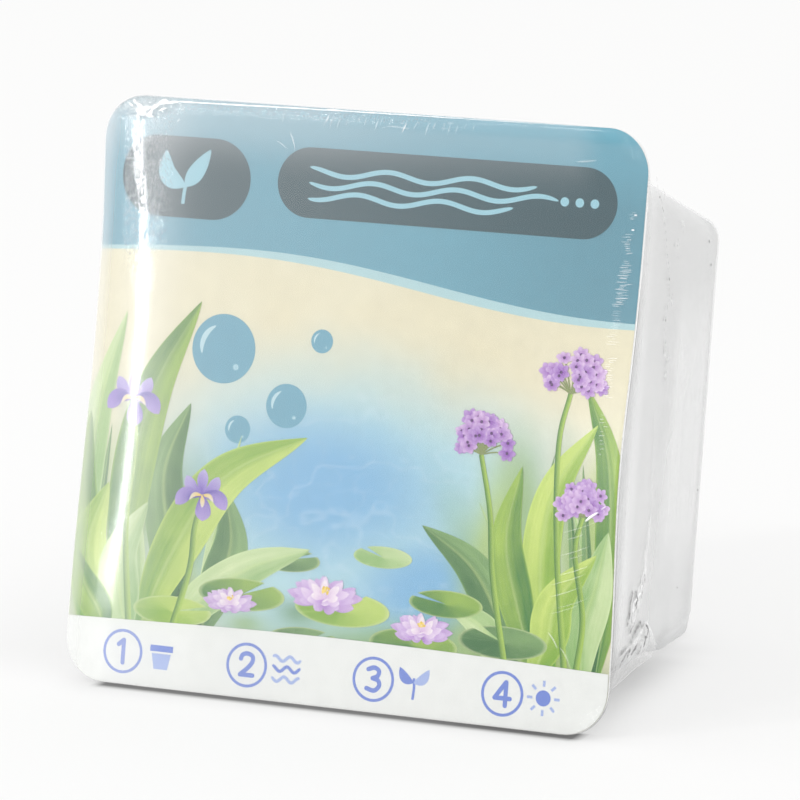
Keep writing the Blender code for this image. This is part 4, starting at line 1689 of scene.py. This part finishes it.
def make_front_marks():
    """Stress-whitened dashes down the right that glow as painted glints, a slanting crease drawn as a painted glint,
    and the crinkle gathered in the top left corner, as painted glints with a painted highlight line along the top edge."""
    rng = np.random.default_rng(17)
    marks = Strokes(on_front)
    # stress-whitened dashes down the right, drawn white, so they also glow as painted glints
    centre = np.array([(71.8, 54.0), (71.4, 47.0), (70.9, 40.0), (70.3, 34.0), (69.9, 28.0), (69.7, 17.0), (69.4, 9.0), (69.5, 0.0)])
    runs = ((54.6, 52.6, 0.8, 2.0), (49.2, 44.4, 0.9, 2.2), (42.6, 38.0, 0.75, 3.4), (37.4, 31.0, 0.8, 3.8),
            (30.2, 22.0, 0.9, 3.4), (18.6, 9.0, 0.85, 3.0), (4.6, -6.0, 1.7, 2.0))
    for k, (high, low, gap, long) in enumerate(runs):
        v = high
        while v > low:
            u = float(np.interp(-v, -centre[:, 1], centre[:, 0])) + rng.normal(0, 0.4)
            half = long * rng.uniform(0.25, 0.62)
            tilt = rng.normal(0.06, 0.05)
            strong = rng.uniform(0.16, 0.52) * (0.6 if k == 4 else 0.8 if k > 4 else 1.0)
            marks.add([(u - half, v - half * tilt), (u + half, v + half * tilt)], rng.uniform(0.22, 0.36), 0.05, 1.0, strong, 7, 5)
            v -= 0.62 * gap * rng.uniform(0.75, 1.3)
    # two bright dots: painted glints
    for u, v, wide in ((72.6, 54.0, 0.45), (72.2, 50.3, 0.5)):
        marks.add([(u - 0.5, v), (u + 0.5, v + 0.1)], wide, 0.08, 1.0, 0.8, 6)
    # a slanting glint with fainter lines below it
    marks.add([(66.4, -22.0), (68.0, -20.6), (70.2, -19.2)], 0.75, 0.10, 1.0, 0.95, 12)
    marks.add([(70.6, -18.7), (72.2, -17.6)], 0.4, 0.05, 1.0, 0.5, 7)
    for k in range(9):
        v = -24.0 - 2.6 * k + rng.normal(0, 0.4)
        u = 64.0 + rng.normal(0, 1.4)
        long = rng.uniform(2.2, 5.2)
        marks.add([(u - long, v - long * 0.34), (u, v), (u + long, v + long * 0.42)], 0.34, 0.04, 1.0, rng.uniform(0.10, 0.26), 9)
    for u, v, du, dv, c in ((58.0, -50.0, 3.2, -4.4, 0.32), (61.5, -53.5, 2.6, -3.6, 0.22), (55.5, 66.0, 6.0, 0.8, 0.25), (-22.0, 68.6, 2.0, -5.0, 0.30),
                            (-25.5, 66.0, 3.4, -2.2, 0.22), (4.0, 71.6, 7.0, -0.4, 0.22)):
        marks.add([(u, v), (u + du * 0.5, v + dv * 0.4), (u + du, v + dv)], 0.5, 0.05, 1.0, c, 9)
    # the crinkle: painted glints on the folded film, drawn as white shards that end in the line along the top
    shards = (
        ((-67.0, 74.2), (-65.4, 72.7), 1.0), ((-66.2, 73.2), (-62.8, 71.7), 1.3), ((-66.6, 71.9), (-61.8, 70.2), 2.3),
        ((-64.8, 70.6), (-60.6, 72.1), 1.7), ((-62.8, 69.7), (-60.4, 72.0), 1.5), ((-61.4, 71.2), (-58.2, 73.1), 1.4),
        ((-60.2, 72.7), (-55.8, 73.7), 1.7), ((-65.6, 70.4), (-64.6, 68.2), 1.2), ((-63.2, 70.2), (-59.6, 69.6), 0.9),
        ((-57.6, 73.0), (-52.6, 73.9), 0.9), ((-59.4, 71.0), (-56.2, 72.2), 0.7), ((-68.4, 73.2), (-66.4, 72.0), 0.7),
    )
    for (a, b), (c, d), wide in shards:
        bend = rng.normal(0, 0.25, 2)
        marks.add([(a, b), ((a + c) / 2 + bend[0], (b + d) / 2 + bend[1]), (c, d)], wide, 0.16, 1.0, 0.97, 11, 7, pointed=True)
    for _ in range(44):
        u, v = rng.uniform(-69.5, -50), 73.6 - abs(rng.normal(0, 2.0))
        if u < -67.5 and v > 72.0:
            continue
        a, long = rng.uniform(-1.0, 1.0), rng.uniform(0.4, 1.8)
        marks.add([(u, v), (u + long * math.cos(a), v + long * math.sin(a))], rng.uniform(0.2, 0.6), 0.08, 1.0, rng.uniform(0.25, 0.8), 6, pointed=True)
    # the line along the top: a painted highlight where the film rounds the card's top edge
    u = -54.0
    while u < 56:
        long = rng.uniform(2.5, 8.0)
        v = float(np.interp(u, (-54, -10, 60), (74.0, 74.55, 74.8)))
        strong = float(np.interp(u, (-54, -10, 20, 45, 56), (0.95, 0.85, 0.6, 0.3, 0.1))) * rng.uniform(0.85, 1.05)
        wide = float(np.interp(u, (-54, 0, 50), (0.50, 0.42, 0.28))) * rng.uniform(0.85, 1.2)
        marks.add([(u, v), (u + long / 2, v + rng.normal(0, 0.03)), (u + long, v + 0.02)], wide, 0.05, 1.0, min(strong, 1.0), 9)
        u += long * rng.uniform(0.50, 0.75)
    # fine pale streaks that slant down from it
    for k in range(26):
        u = -30 + 60 * (k + rng.uniform(0.1, 0.9)) / 26
        long = rng.uniform(1.2, 4.4)
        marks.add(
            [(u, 73.6), (u - 0.25 * long + rng.normal(0, 0.2), 73.6 - long)],
            rng.uniform(0.22, 0.42), 0.04, 1.0, rng.uniform(0.10, 0.38), 7, pointed=True,
        )
    for u, v, du, dv in ((-11.5, 73.8, -1.0, -3.0), (9.8, 73.2, -1.4, -3.4)):
        marks.add([(u, v), (u + du * 0.4, v + dv * 0.5), (u + du, v + dv)], 0.5, 0.06, 1.0, 0.6, 9, pointed=True)
    # faint scuffs beneath that line
    for _ in range(26):
        u, v = rng.uniform(-50, 20), 73.9 - abs(rng.normal(0, 1.3))
        long = rng.uniform(0.6, 3.0)
        marks.add([(u, v), (u + long, v + rng.normal(-0.1, 0.25))], rng.uniform(0.15, 0.4), 0.04, 1.0, rng.uniform(0.10, 0.45), 6, pointed=True)
    marks.make("film_marks")


def side_at(v, n, proud):
    return on_right(v, n, proud)


def make_side_marks():
    """Pinholes, the seam's dark specks and the creases of the folded corner, with painted glints and painted shade, and
    sheets of painted shade and sheen along the right side.
    """
    rng = np.random.default_rng(23)
    marks = Strokes(side_at)
    for v, n, r in ((59.0, -32.4, 0.62), (48.6, -18.6, 0.5), (42.1, -17.6, 0.45), (38.5, -50.2, 0.6), (28.0, -50.0, 0.6),
                    (48.6, -94.4, 0.65), (42.5, -99.0, 0.6), (1.5, -13.5, 0.4), (-13.5, -15.5, 0.4), (-20.0, -16.0, 0.45),
                    (-26.5, -16.0, 0.4), (-17.0, -104.0, 0.55), (-42.0, -88.0, 0.4), (8.0, -92.0, 0.35)):
        marks.add([(v - r * 0.62, n), (v + r * 0.62, n + rng.normal(0, 0.15))], r * 2.5, 0.03, 0.05, 1.0, 7, base=0.30)
    # the seam, as a broken line of tiny dark and light marks
    seam = curve([(64.0, -24.0), (59.0, -32.5), (56.0, -37.5), (48.5, -43.5), (43.0, -47.5), (38.5, -50.0), (33.0, -52.0), (28.0, -49.5), (23.0, -51.0), (18.0, -55.5), (10.0, -55.0)], 160)
    k = 0
    while k < 156:
        step = int(rng.integers(1, 4))
        a, b = seam[k], seam[min(k + step, 159)]
        off = rng.normal(0, 0.25, 2)
        marks.add([a + off, b + off], rng.uniform(0.6, 1.2), 0.04, 0.30 if rng.uniform() < 0.75 else 1.0, rng.uniform(0.25, 0.62), 5, base=0.28)
        k += step + int(rng.integers(0, 3))
    # small crumples beside it, as painted glints and grey painted shade
    for v, n, size in ((47.0, -57.0, 3.4), (33.0, -56.0, 2.6), (18.0, -57.0, 3.0), (20.0, -53.0, 1.6), (60.0, -38.0, 2.0), (52.0, -62.0, 2.4)):
        for _ in range(9):
            a = rng.uniform(0, math.pi)
            p = np.array([v, n]) + rng.normal(0, size * 0.35, 2)
            long = rng.uniform(0.4, 1.5)
            marks.add([p, p + long * np.array([math.cos(a), math.sin(a)])], rng.uniform(0.5, 1.3), 0.05, 1.0 if rng.uniform() < 0.55 else 0.50, rng.uniform(0.2, 0.55), 5, base=0.28)
    # the fold line that runs down from the seam, light with a shaded flank
    fold = curve([(4.0, -46.5), (-0.5, -47.5), (-13.0, -50.0), (-24.0, -51.5), (-30.5, -50.2), (-36.0, -48.5)], 40)
    for k in range(0, 36, 3):
        marks.add([fold[k], fold[k + 2], fold[min(k + 4, 39)]], 0.8, 0.05, 1.0, 0.10 + 0.22 * k / 36, 6)
        shade = fold[[k, k + 2, min(k + 4, 39)]] + np.array([0.0, 1.1])
        marks.add(shade, 1.5, 0.02, 0.6, 0.08, 6)
    marks.make("film_creases", flip=True)

    # painted shadow in the gap behind the card's edge, where the film leaves it: a dark sheet, with a broader painted
    # shade beside it
    cross = np.concatenate([np.linspace(-0.62, -3.4, 15), np.linspace(-4.2, -26.0, 16)])
    v, n = np.meshgrid(np.linspace(63, -64, 220), cross, indexing="ij")
    deep = np.interp(-v, (-40, -30, -8, 0, 9, 14, 22, 28, 50, 56, 63), (0, 0.72, 0.72, 0.04, 0.04, 0.75, 0.72, 0.66, 0.66, 0.72, 0.3))
    wide = np.interp(-v, (-30, -8, 9, 20, 28, 50, 56), (1.0, 0.95, 0.38, 0.42, 0.95, 0.90, 0.40))
    broad = np.interp(-v, (-30, -10, 10, 30, 50, 62), (0.0, 0.05, 0.09, 0.15, 0.20, 0.12))
    cover = deep * np.exp(-(((n + 0.7 + wide * 0.75) / wide) ** 2)) + broad * np.exp(-(((n + 6.0) / 8.0) ** 2))
    cover *= (0.9 + 0.3 * fbm(v / 6, n / 3, 61)) * (1 - smooth(20.0, 25.5, -n))
    u, v, m = on_right(v, n, 0.07)
    sheet("film_gap_painted_shadow", u, v, m, np.full(u.shape, 0.20), cover)

    # the card's pale cut edge, seen through the lip, drawn white so that it also glows as a painted highlight
    v, n = np.meshgrid(np.linspace(61, -63.4, 240), np.linspace(0.12, -1.05, 14), indexing="ij")
    wide = np.interp(-v, (-60, -10, 10, 40), (0.48, 0.42, 0.30, 0.24))
    strong = np.interp(-v, (-61, -56, -10, 10, 30, 63), (0.1, 0.92, 0.90, 0.70, 0.55, 0.45))
    cover = strong * np.exp(-(((n + 0.06 + wide * 0.6) / wide) ** 4))
    cover *= 0.92 + 0.16 * fbm(v / 4, n, 67)
    u, v, m = on_lip(v, n, 0.05)
    sheet("film_cut_edge_and_glow", u, v, m, np.ones(u.shape), cover)

    # a soft sheen low on the side towards the back
    v, n = np.meshgrid(np.linspace(46, -56, 120), np.linspace(-48, -106, 100), indexing="ij")
    window = smoother(-46, -20, v) * (1 - smoother(14, 46, v)) * smoother(50, 72, -n) * (1 - smoother(96, 106, -n))
    cover = 0.42 * window * (0.90 + 0.13 * fbm(v / 70, n / 2.6, 63) + 0.15 * fbm(v / 50, n / 7, 64))
    u, v, m = on_right(v, n, 0.45)
    sheet("film_sheen", u, v, m, np.full(u.shape, 1.0), cover)

    # the shaded underside of the card's lower right corner
    a, n = np.meshgrid(np.linspace(math.radians(8), math.radians(88), 40), np.linspace(-0.05, -0.85, 9), indexing="ij")
    r = 11.70
    _, _, bn = card_point(63.5 + r * np.sin(a), -63.5 - r * np.cos(a))
    cover = 0.75 * np.exp(-(((n + 0.5) / 0.32) ** 2)) * smooth(0.1, 0.5, a) * (1 - smooth(1.1, 1.5, a))
    sheet("film_foot", 63.5 + r * np.sin(a), -63.5 - r * np.cos(a), n + bn, np.full(a.shape, 0.30), cover)


def on_left(v, n, proud):
    """A point on the film's left side, proud millimetres outside it."""
    half, _, share = film_side(n)
    bu, _, bn = card_point(np.full(np.shape(v), -CARD_HALF), v)
    return -half - proud + share * (bu + CARD_HALF), v, n + share * bn


def on_top(u, n, proud):
    """A point on the film's top, proud millimetres outside it."""
    half, _, share = film_side(n)
    _, _, bn = card_point(u, np.full(np.shape(u), CARD_HALF))
    return u, half + proud, n + share * bn


def on_base(u, v, proud):
    """A point on the film over the tub's base, proud millimetres outside it."""
    depth = base_profile(FILM_OFF, 6)[-1][0]
    return u, v, np.full(np.shape(u), depth) - proud


def crease(marks, rng, points, strength, width=0.5, gap=0.7):
    """A long crease in the film: a white ridge that glows as a painted highlight, beside a broken grey valley of
    painted shade.
    """
    line = curve(points, 60)
    tangent = np.gradient(line, axis=0)
    tangent /= np.maximum(np.hypot(*tangent.T)[:, None], 1e-9)
    across = np.stack([-tangent[:, 1], tangent[:, 0]], -1)
    k = 0
    while k < 54:
        step = int(rng.integers(3, 9))
        pick = line[k : min(k + step, 59) + 1]
        if len(pick) > 2:
            fade = 0.4 + 0.6 * math.sin(math.pi * min(1.0, (k + step / 2) / 59))
            jog = rng.normal(0, 0.10, pick.shape)
            marks.add(pick[:: max(1, len(pick) // 3)] + jog[:: max(1, len(pick) // 3)], width * rng.uniform(0.7, 1.3), 0.06, 1.0, strength * fade * rng.uniform(0.6, 1.0), 8, pointed=True)
            # the grey valley beside the ridge: painted shade
            dark = pick + across[k : k + len(pick)] * gap * rng.uniform(0.6, 1.1)
            marks.add(dark[:: max(1, len(pick) // 3)], width * rng.uniform(0.5, 1.0), 0.03, rng.uniform(0.30, 0.5), strength * fade * rng.uniform(0.35, 0.8), 8, pointed=True)
        k += step


def make_unseen_marks():
    """Creases, pinholes and the seal on the film's left side, top and base."""
    rng = np.random.default_rng(41)
    marks = Strokes(on_left)
    seal = curve([(63.0, -27.0), (52.0, -34.0), (36.0, -42.0), (16.0, -47.0), (-6.0, -49.0), (-28.0, -50.0), (-50.0, -52.0)], 220)
    k = 0
    while k < 214:
        step = int(rng.integers(1, 5))
        a, b = seal[k], seal[min(k + step, 219)]
        off = rng.normal(0, 0.2, 2)
        marks.add([a + off, b + off], rng.uniform(0.25, 0.5), 0.04, 0.34 if rng.uniform() < 0.6 else 1.0, rng.uniform(0.25, 0.65), 5)
        k += step + int(rng.integers(0, 3))
    for v in np.arange(-48, 60, 10.0):
        for n in (-18.0, -96.0):
            marks.add([(v - 0.3, n + rng.normal(0, 0.8)), (v + 0.3, n + rng.normal(0, 0.8))], 0.5, 0.03, 0.3, 0.75, 6)
    for points, strength in (
        ([(-58, -10), (-50, -20), (-44, -34), (-42, -47)], 0.6), ([(-60, -14), (-54, -26), (-51, -38)], 0.5),
        ([(-57, -30), (-53, -42), (-52, -56)], 0.55), ([(-56, -62), (-50, -70), (-47, -84)], 0.4),
        ([(58, -8), (52, -16), (49, -28)], 0.5), ([(61, -9), (58, -20), (57, -34)], 0.45),
        ([(50, -104), (40, -98), (28, -95)], 0.4), ([(-50, -104), (-42, -97), (-34, -90)], 0.45),
        ([(20, -4), (12, -10), (6, -20)], 0.25), ([(-10, -4), (-14, -12), (-12, -24)], 0.22),
    ):
        crease(marks, rng, points, min(0.95, 1.5 * strength))
    marks.make("film_left_creases")

    marks = Strokes(on_top)
    for points, strength in (
        ([(-62, -8), (-55, -18), (-51, -32)], 0.55), ([(-58, -7), (-48, -14), (-40, -26)], 0.45), ([(-52, -104), (-44, -96), (-32, -92)], 0.4),
        ([(62, -8), (55, -17), (52, -30)], 0.5), ([(57, -7), (49, -13), (44, -22)], 0.4), ([(51, -104), (43, -97), (30, -94)], 0.4),
        ([(-20, -4), (-14, -12), (-12, -26)], 0.25), ([(14, -4), (18, -14), (17, -30)], 0.25), ([(-50, -60), (-20, -66), (16, -63), (50, -68)], 0.20),
    ):
        crease(marks, rng, points, min(0.95, 1.5 * strength))
    for u in np.arange(-50, 56, 10.0):
        marks.add([(u - 0.3, -19.0 + rng.normal(0, 0.6)), (u + 0.3, -19.0 + rng.normal(0, 0.6))], 0.5, 0.03, 0.3, 0.7, 6)
        marks.add([(u - 0.3, -95.0 + rng.normal(0, 0.6)), (u + 0.3, -95.0 + rng.normal(0, 0.6))], 0.5, 0.03, 0.3, 0.7, 6)
    marks.make("film_top_creases", flip=True)

    marks = Strokes(on_base)
    for su in (-1, 1):
        for sv in (-1, 1):
            for k in range(5):
                a = math.radians(rng.uniform(18, 72))
                far, near = rng.uniform(46, 50), rng.uniform(14, 34)
                c = np.array([su * far, sv * far]) + rng.normal(0, 2.5, 2)
                d = np.array([su * math.cos(a), sv * math.sin(a)])
                side = np.array([-d[1], d[0]]) * rng.normal(0, 1.6)
                crease(marks, rng, [c, c - d * near * 0.5 + side, c - d * near], rng.uniform(0.5, 0.9))
    for u, v in ((-22.0, 16.0), (25.0, -13.0), (3.0, 30.0), (-6.0, -27.0)):
        a = np.linspace(0, 2 * math.pi, 17)
        ring = np.stack([u + 0.9 * np.cos(a), v + 0.9 * np.sin(a)], -1)
        for j in range(0, 16, 4):
            marks.add(ring[j : j + 5], 0.4, 0.05, 0.45 if j % 8 else 1.0, 0.7, 6)
    marks.make("film_base_creases")


def ear_sheet(b, t, proud=0.0):
    """The crumpled sheet of the folded corner: b runs along it from the card's
    side to the tip at the back, t down from the fold line to the floor."""
    k = np.linspace(0, 1, 200)
    top = curve(
        [(-60.5, -8.0), (-59.0, -14.5), (-57.0, -21.0), (-55.5, -30.5), (-53.5, -40.5), (-51.0, -48.0), (-49.0, -54.5),
         (-50.5, -58.5), (-52.5, -63.0), (-54.5, -67.0), (-56.6, -71.0)],
        200,
    )
    v0, n0 = np.interp(b, k, top[:, 0]), np.interp(b, k, top[:, 1])
    n1 = -34.0 - 46.0 * b
    u0, v0, n0 = on_right(v0, n0, 0.20)
    u1 = np.interp(-n1, [34.0, 41.3, 46.1, 53.3, 64.4, 71.8, 80.0], [59.2, 58.5, 58.1, 57.6, 56.3, 55.8, 55.9])
    v1 = floor_v(n1) + 0.30
    arc = np.sin(math.pi * np.clip(t, 0, 1)) ** 0.8
    ends = np.clip(np.sin(math.pi * np.clip(b, 0, 1)), 0, 1) ** 0.4
    crumple = ridged(b * 10 + t * 2.5, t * 3.4 - b * 2, 5) - 0.45
    small = ridged(b * 26 - t * 4, t * 9 + b * 3, 6) - 0.5
    v = v0 * (1 - t) + v1 * t - 0.4 * arc * ends + 0.4 * small * (1 - t) * ends
    n = n0 * (1 - t) + n1 * t + 0.4 * crumple * arc
    v = np.maximum(v, floor_v(n) + 0.12)
    # it lies outside the tub's rounded corner and its film
    half, radius, _ = film_side(n)
    below = np.minimum(v + half - radius, 0.0)
    corner = half - radius + np.sqrt(np.maximum(radius**2 - below**2, 0.0))
    u = np.maximum(u0 * (1 - t) + u1 * t, corner + 0.35 + 0.3 * arc)
    u = u + (0.3 * arc + 0.7 * crumple + 0.3 * small) * ends * (1 - 0.9 * t)
    return np.maximum(u, corner + 0.3) + proud, v, n


def near_line(x, y, points):
    """Distance from each (x, y) to a smooth line through the points, and how far
    along it the nearest place lies, from 0 to 1."""
    line = curve(points, 80)
    gap = np.hypot(x[..., None] - line[:, 0], y[..., None] - line[:, 1])
    return gap.min(-1), gap.argmin(-1) / 79.0


def squiggles(x, y, angle, seed, fine=1.0):
    """Thin winding lines that run along an angle, 0 to 1."""
    c, d = math.cos(angle), math.sin(angle)
    a, b = (x * c + y * d) * fine, (y * c - x * d) * fine
    bent = b + 0.55 * fbm(a / 1.3, b / 1.6, seed + 3)
    lines = ridged(a / 3.6, bent / 1.25, seed, 3)
    low, high = np.percentile(lines, (50, 99))
    return np.clip((lines - low) / (high - low), 0, 1)


def sheet(name, u, v, n, tone, cover, flip=False):
    """A layer of marks on the film (creases, painted shade and painted sheen), cut down to the faces that show."""
    faces = quads(np.arange(u.size).reshape(u.shape))
    cover = np.clip(cover, 0, 1).ravel()
    faces = faces[cover[faces].max(1) > 0.006]
    used, faces = np.unique(faces, return_inverse=True)
    faces = faces.reshape(-1, 4)
    obj = build(
        name,
        package(u.ravel()[used], v.ravel()[used], n.ravel()[used]),
        faces[:, ::-1] if flip else faces,
        pkg=np.stack([u.ravel(), v.ravel(), n.ravel()], -1)[used],
        values={"tone": np.clip(tone, 0, 1).ravel()[used], "cover": cover[used]},
    )
    obj.data.materials.append(MARK)
    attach(obj, "root")
    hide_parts("shrink_film")


def make_folds():
    """The dog ear at the lower right, as crumpled film folded against the side, with painted shade in its crevices and
    painted glints on its ridges.
    """
    rng = np.random.default_rng(3)
    rows, cols = ((110, 300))
    b, t = np.meshgrid(np.linspace(0, 1, cols), np.linspace(0, 1, rows))
    u, v, n = ear_sheet(b, t)
    x, y = b * 60.0, t * 16.0
    thin = squiggles(x, y, 2.2, 83, 1.7)
    bent_x = x + 0.9 * fbm(x / 1.3, y / 1.3, 101)
    bent_y = y + 0.7 * fbm(x / 1.3, y / 1.3, 103)
    broken = 0.55 + 1.3 * fbm(x / 0.9, y / 0.8, 107)

    def creases(lines):
        value = np.zeros(x.shape)
        for points, wide, strength in lines:
            gap, _ = near_line(bent_x, bent_y, points)
            value = np.maximum(value, strength * np.exp(-((gap / wide) ** 2)))
        return value

    crevice_shade = creases(
        (
            ([(34.6, 0.9), (36.7, 2.4), (36.4, 3.2), (34.0, 3.8), (33.3, 5.7)], 0.55, 1.0), ([(33.0, 3.2), (33.4, 4.6), (33.0, 6.0)], 0.6, 0.9),
            ([(30.7, 4.9), (29.7, 6.4)], 0.55, 0.9), ([(26.2, 2.5), (24.6, 2.9), (22.3, 3.7)], 0.60, 0.9),
            ([(20.4, 1.4), (18.0, 2.7), (16.2, 3.7), (15.8, 5.8)], 0.65, 1.0), ([(21.8, 1.0), (21.0, 3.0)], 0.5, 0.9),
            ([(14.0, 4.0), (11.0, 6.2), (8.6, 8.0)], 0.50, 0.6), ([(28.4, 4.8), (27.0, 6.2)], 0.45, 0.7), ([(38.4, 3.0), (38.8, 5.4)], 0.45, 0.6),
            ([(24.2, 6.6), (21.4, 7.6), (18.4, 8.4)], 0.45, 0.5), ([(43.0, 8.8), (40.0, 10.6)], 0.42, 0.45),
        )
    ) * np.clip(broken + 0.4, 0, 1)
    painted_glints = creases(
        (
            ([(31.5, 0.8), (30.0, 1.0), (28.2, 0.8)], 0.7, 0.9), ([(31.3, 1.4), (29.7, 2.5)], 0.7, 0.8),
            ([(36.0, 0.2), (45.3, 0.2), (52.3, 0.2), (59.7, 0.2)], 0.6, 0.95), ([(49.0, 0.3), (55.3, 0.9), (56.3, 5.0)], 0.65, 0.9),
            ([(46.0, 8.6), (49.3, 9.6), (57.3, 12.3)], 0.8, 0.85), ([(29.7, 3.3), (31.2, 4.6), (32.0, 6.2), (31.7, 8.4)], 0.65, 0.85),
            ([(27.0, 7.3), (28.4, 9.4), (28.7, 11.0), (27.7, 12.7)], 0.7, 0.8), ([(24.0, 11.3), (23.7, 14.0)], 0.7, 0.6), ([(36.4, 4.4), (36.0, 7.6)], 0.6, 0.8),
            ([(22.0, 5.4), (18.4, 6.6), (13.0, 9.4)], 0.6, 0.7), ([(20.0, 11.6), (13.0, 12.2), (7.0, 13.4)], 0.6, 0.6),
        )
    ) * np.clip(broken + 0.35, 0, 1)
    # the ridges and the sheet's rim are painted white as glints, and the crevices dark as shade
    white = np.maximum(0.55 * smooth(0.15, 0.45, thin), painted_glints) * (1 - np.clip(crevice_shade, 0, 1))
    edge = smooth(0, 0.05, t) * smooth(0.05, 0.30, b) ** 0.8 * (1 - smooth(0.95, 1, b))
    rim = np.exp(-((t / 0.05) ** 2)) + 0.8 * np.exp(-(((1 - t) / 0.06) ** 2))
    tone = 1.0 - 0.90 * smooth(0.15, 0.6, crevice_shade)
    cover = (0.22 + 0.46 * white + 0.92 * np.clip(crevice_shade, 0, 1)) * edge + 0.38 * rim * (1 - np.clip(crevice_shade, 0, 1)) * smooth(0.05, 0.3, b)
    sheet("film_ear", u, v, n, tone, cover)

    # stray painted glints and dark creases of painted shade on the sheet
    marks = Strokes(lambda b, t, proud: ear_sheet(b / 60.0, t / 16.0, proud))
    for _ in range(120):
        p = np.array([rng.uniform(8, 50), rng.uniform(1.2, 14)])
        a, long = rng.normal(2.5, 0.6), rng.uniform(0.5, 2.0)
        q = p + long * np.array([math.cos(a) * 1.4, math.sin(a)])
        if min(p[1], q[1]) < 0.8 or max(p[1], q[1]) > 14.4 or q[0] < 6.0:
            continue
        marks.add([p, (p + q) / 2 + rng.normal(0, 0.2, 2), q], rng.uniform(0.25, 0.6), 0.05, 1.0 if rng.uniform() < 0.8 else 0.30, rng.uniform(0.15, 0.6), 7, pointed=True)
    marks.make("film_ear_creases")

    # the pleat above the ear: the fold line fans out into crumpled film, with painted shade in its crevices and painted
    # glints and sheen along the fold
    cells = ((250, 190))
    v, n = np.meshgrid(np.linspace(-22.5, -55.0, cells[0]), np.linspace(-31.0, -53.5, cells[1]), indexing="ij")
    x = v + 0.55 * fbm(v / 1.1, n / 1.1, 111)
    y = n + 0.55 * fbm(v / 1.1, n / 1.1, 113)

    def along(points, wide, power=2):
        gap, where = near_line(x, y, points)
        return np.exp(-((gap / wide) ** power)), where

    spine, where = along([(-23.0, -50.8), (-26.0, -49.6), (-29.5, -49.4), (-32.5, -48.0), (-36.0, -48.8), (-39.5, -46.8), (-42.5, -44.0), (-46.0, -40.0), (-50.0, -36.0), (-54.0, -33.0)], 2.6)
    spine = spine * smooth(0.0, 0.12, where) * (1 - smooth(0.86, 1.0, where))
    core, _ = along([(-36.0, -48.6), (-40.0, -46.5), (-43.5, -42.5), (-47.0, -38.5), (-51.0, -38.0)], 1.5)
    crevice_shade = np.zeros(v.shape)
    for points, wide, strength in (
        ([(-37.2, -48.5), (-38.4, -49.0)], 0.42, 0.9), ([(-39.0, -47.4), (-41.0, -47.6), (-42.6, -47.0)], 0.40, 0.9),
        ([(-41.0, -41.2), (-42.2, -41.6), (-43.2, -43.0), (-44.2, -41.3)], 0.46, 1.0),
        ([(-41.3, -37.2), (-43.0, -36.1), (-44.6, -35.6), (-46.5, -35.5), (-48.0, -34.6), (-48.9, -33.8)], 0.62, 1.0),
        ([(-45.3, -41.7), (-46.6, -39.8)], 0.46, 0.9), ([(-48.6, -43.2), (-50.0, -39.0), (-51.2, -37.0)], 0.40, 0.85),
        ([(-49.0, -49.0), (-50.5, -45.5), (-52.0, -42.5), (-53.4, -39.6)], 0.55, 1.0), ([(-26.8, -43.2), (-29.2, -42.0)], 0.30, 0.25),
        ([(-44.6, -45.6), (-46.4, -44.6), (-47.4, -42.4)], 0.32, 0.6), ([(-46.2, -37.8), (-48.4, -37.6)], 0.32, 0.6),
    ):
        line, _ = along(points, wide * 1.15)
        crevice_shade = np.maximum(crevice_shade, strength * line)
    crevice_shade *= np.clip(0.85 + 1.6 * fbm(v / 0.75, n / 0.75, 117), 0, 1)
    painted_glints = np.zeros(v.shape)
    for points, wide, strength in (
        ([(-24.5, -50.0), (-27.0, -49.5), (-29.5, -49.5), (-32.5, -47.8)], 0.9, 0.26), ([(-32.5, -47.8), (-34.6, -49.0), (-36.6, -50.0)], 0.8, 0.38),
        ([(-39.6, -46.4), (-42.0, -44.0), (-43.5, -39.6), (-45.4, -38.3)], 0.55, 0.95), ([(-43.2, -44.6), (-44.8, -45.2)], 0.5, 0.8),
        ([(-36.0, -47.6), (-39.0, -45.0), (-41.0, -42.6)], 0.45, 0.6), ([(-46.4, -42.6), (-48.6, -40.4), (-50.4, -37.4)], 0.45, 0.7),
        ([(-40.0, -38.6), (-42.0, -37.6)], 0.4, 0.5), ([(-44.0, -37.2), (-47.2, -36.9)], 0.4, 0.6), ([(-41.6, -49.0), (-45.0, -47.6), (-48.6, -47.0)], 0.4, 0.45),
    ):
        line, _ = along(points, wide)
        painted_glints = np.maximum(painted_glints, 0.85 * strength * line)
    thin = squiggles(v * 1.1, n * 1.1, 0.6, 97, 1.9)
    body = spine * (0.10 + 0.16 * smooth(0.25, 0.6, where))
    cover = body + (0.34 * smooth(0.2, 0.5, thin) * core + 0.8 * painted_glints) * (1 - np.clip(crevice_shade, 0, 1)) + 0.88 * crevice_shade
    border = smooth(0, 1.4, np.minimum.reduce([v + 55.0, -22.5 - v, n + 53.5, -31.0 - n]))
    tone = 1.0 - 0.90 * smooth(0.15, 0.6, crevice_shade)
    crumple = ridged(v / 1.7, n / 1.7, 12)
    proud = 0.10 + (0.24 * spine + 0.40 * (crumple - 0.35) * core) * (1 - np.clip(crevice_shade, 0, 1) * 0.6)
    u, v, n = on_right(v, n, np.maximum(proud, 0.07))
    sheet("film_pleat", u, v, n, tone, cover * border, flip=True)


def main():
    make_camera()
    make_light()
    make_floor()
    make_card()
    make_header()
    make_bubbles()
    make_plants()
    make_steps()
    make_tub()
    make_film()
    make_front_marks()
    make_side_marks()
    make_unseen_marks()
    make_folds()


main()
bpy.context.view_layer.update()
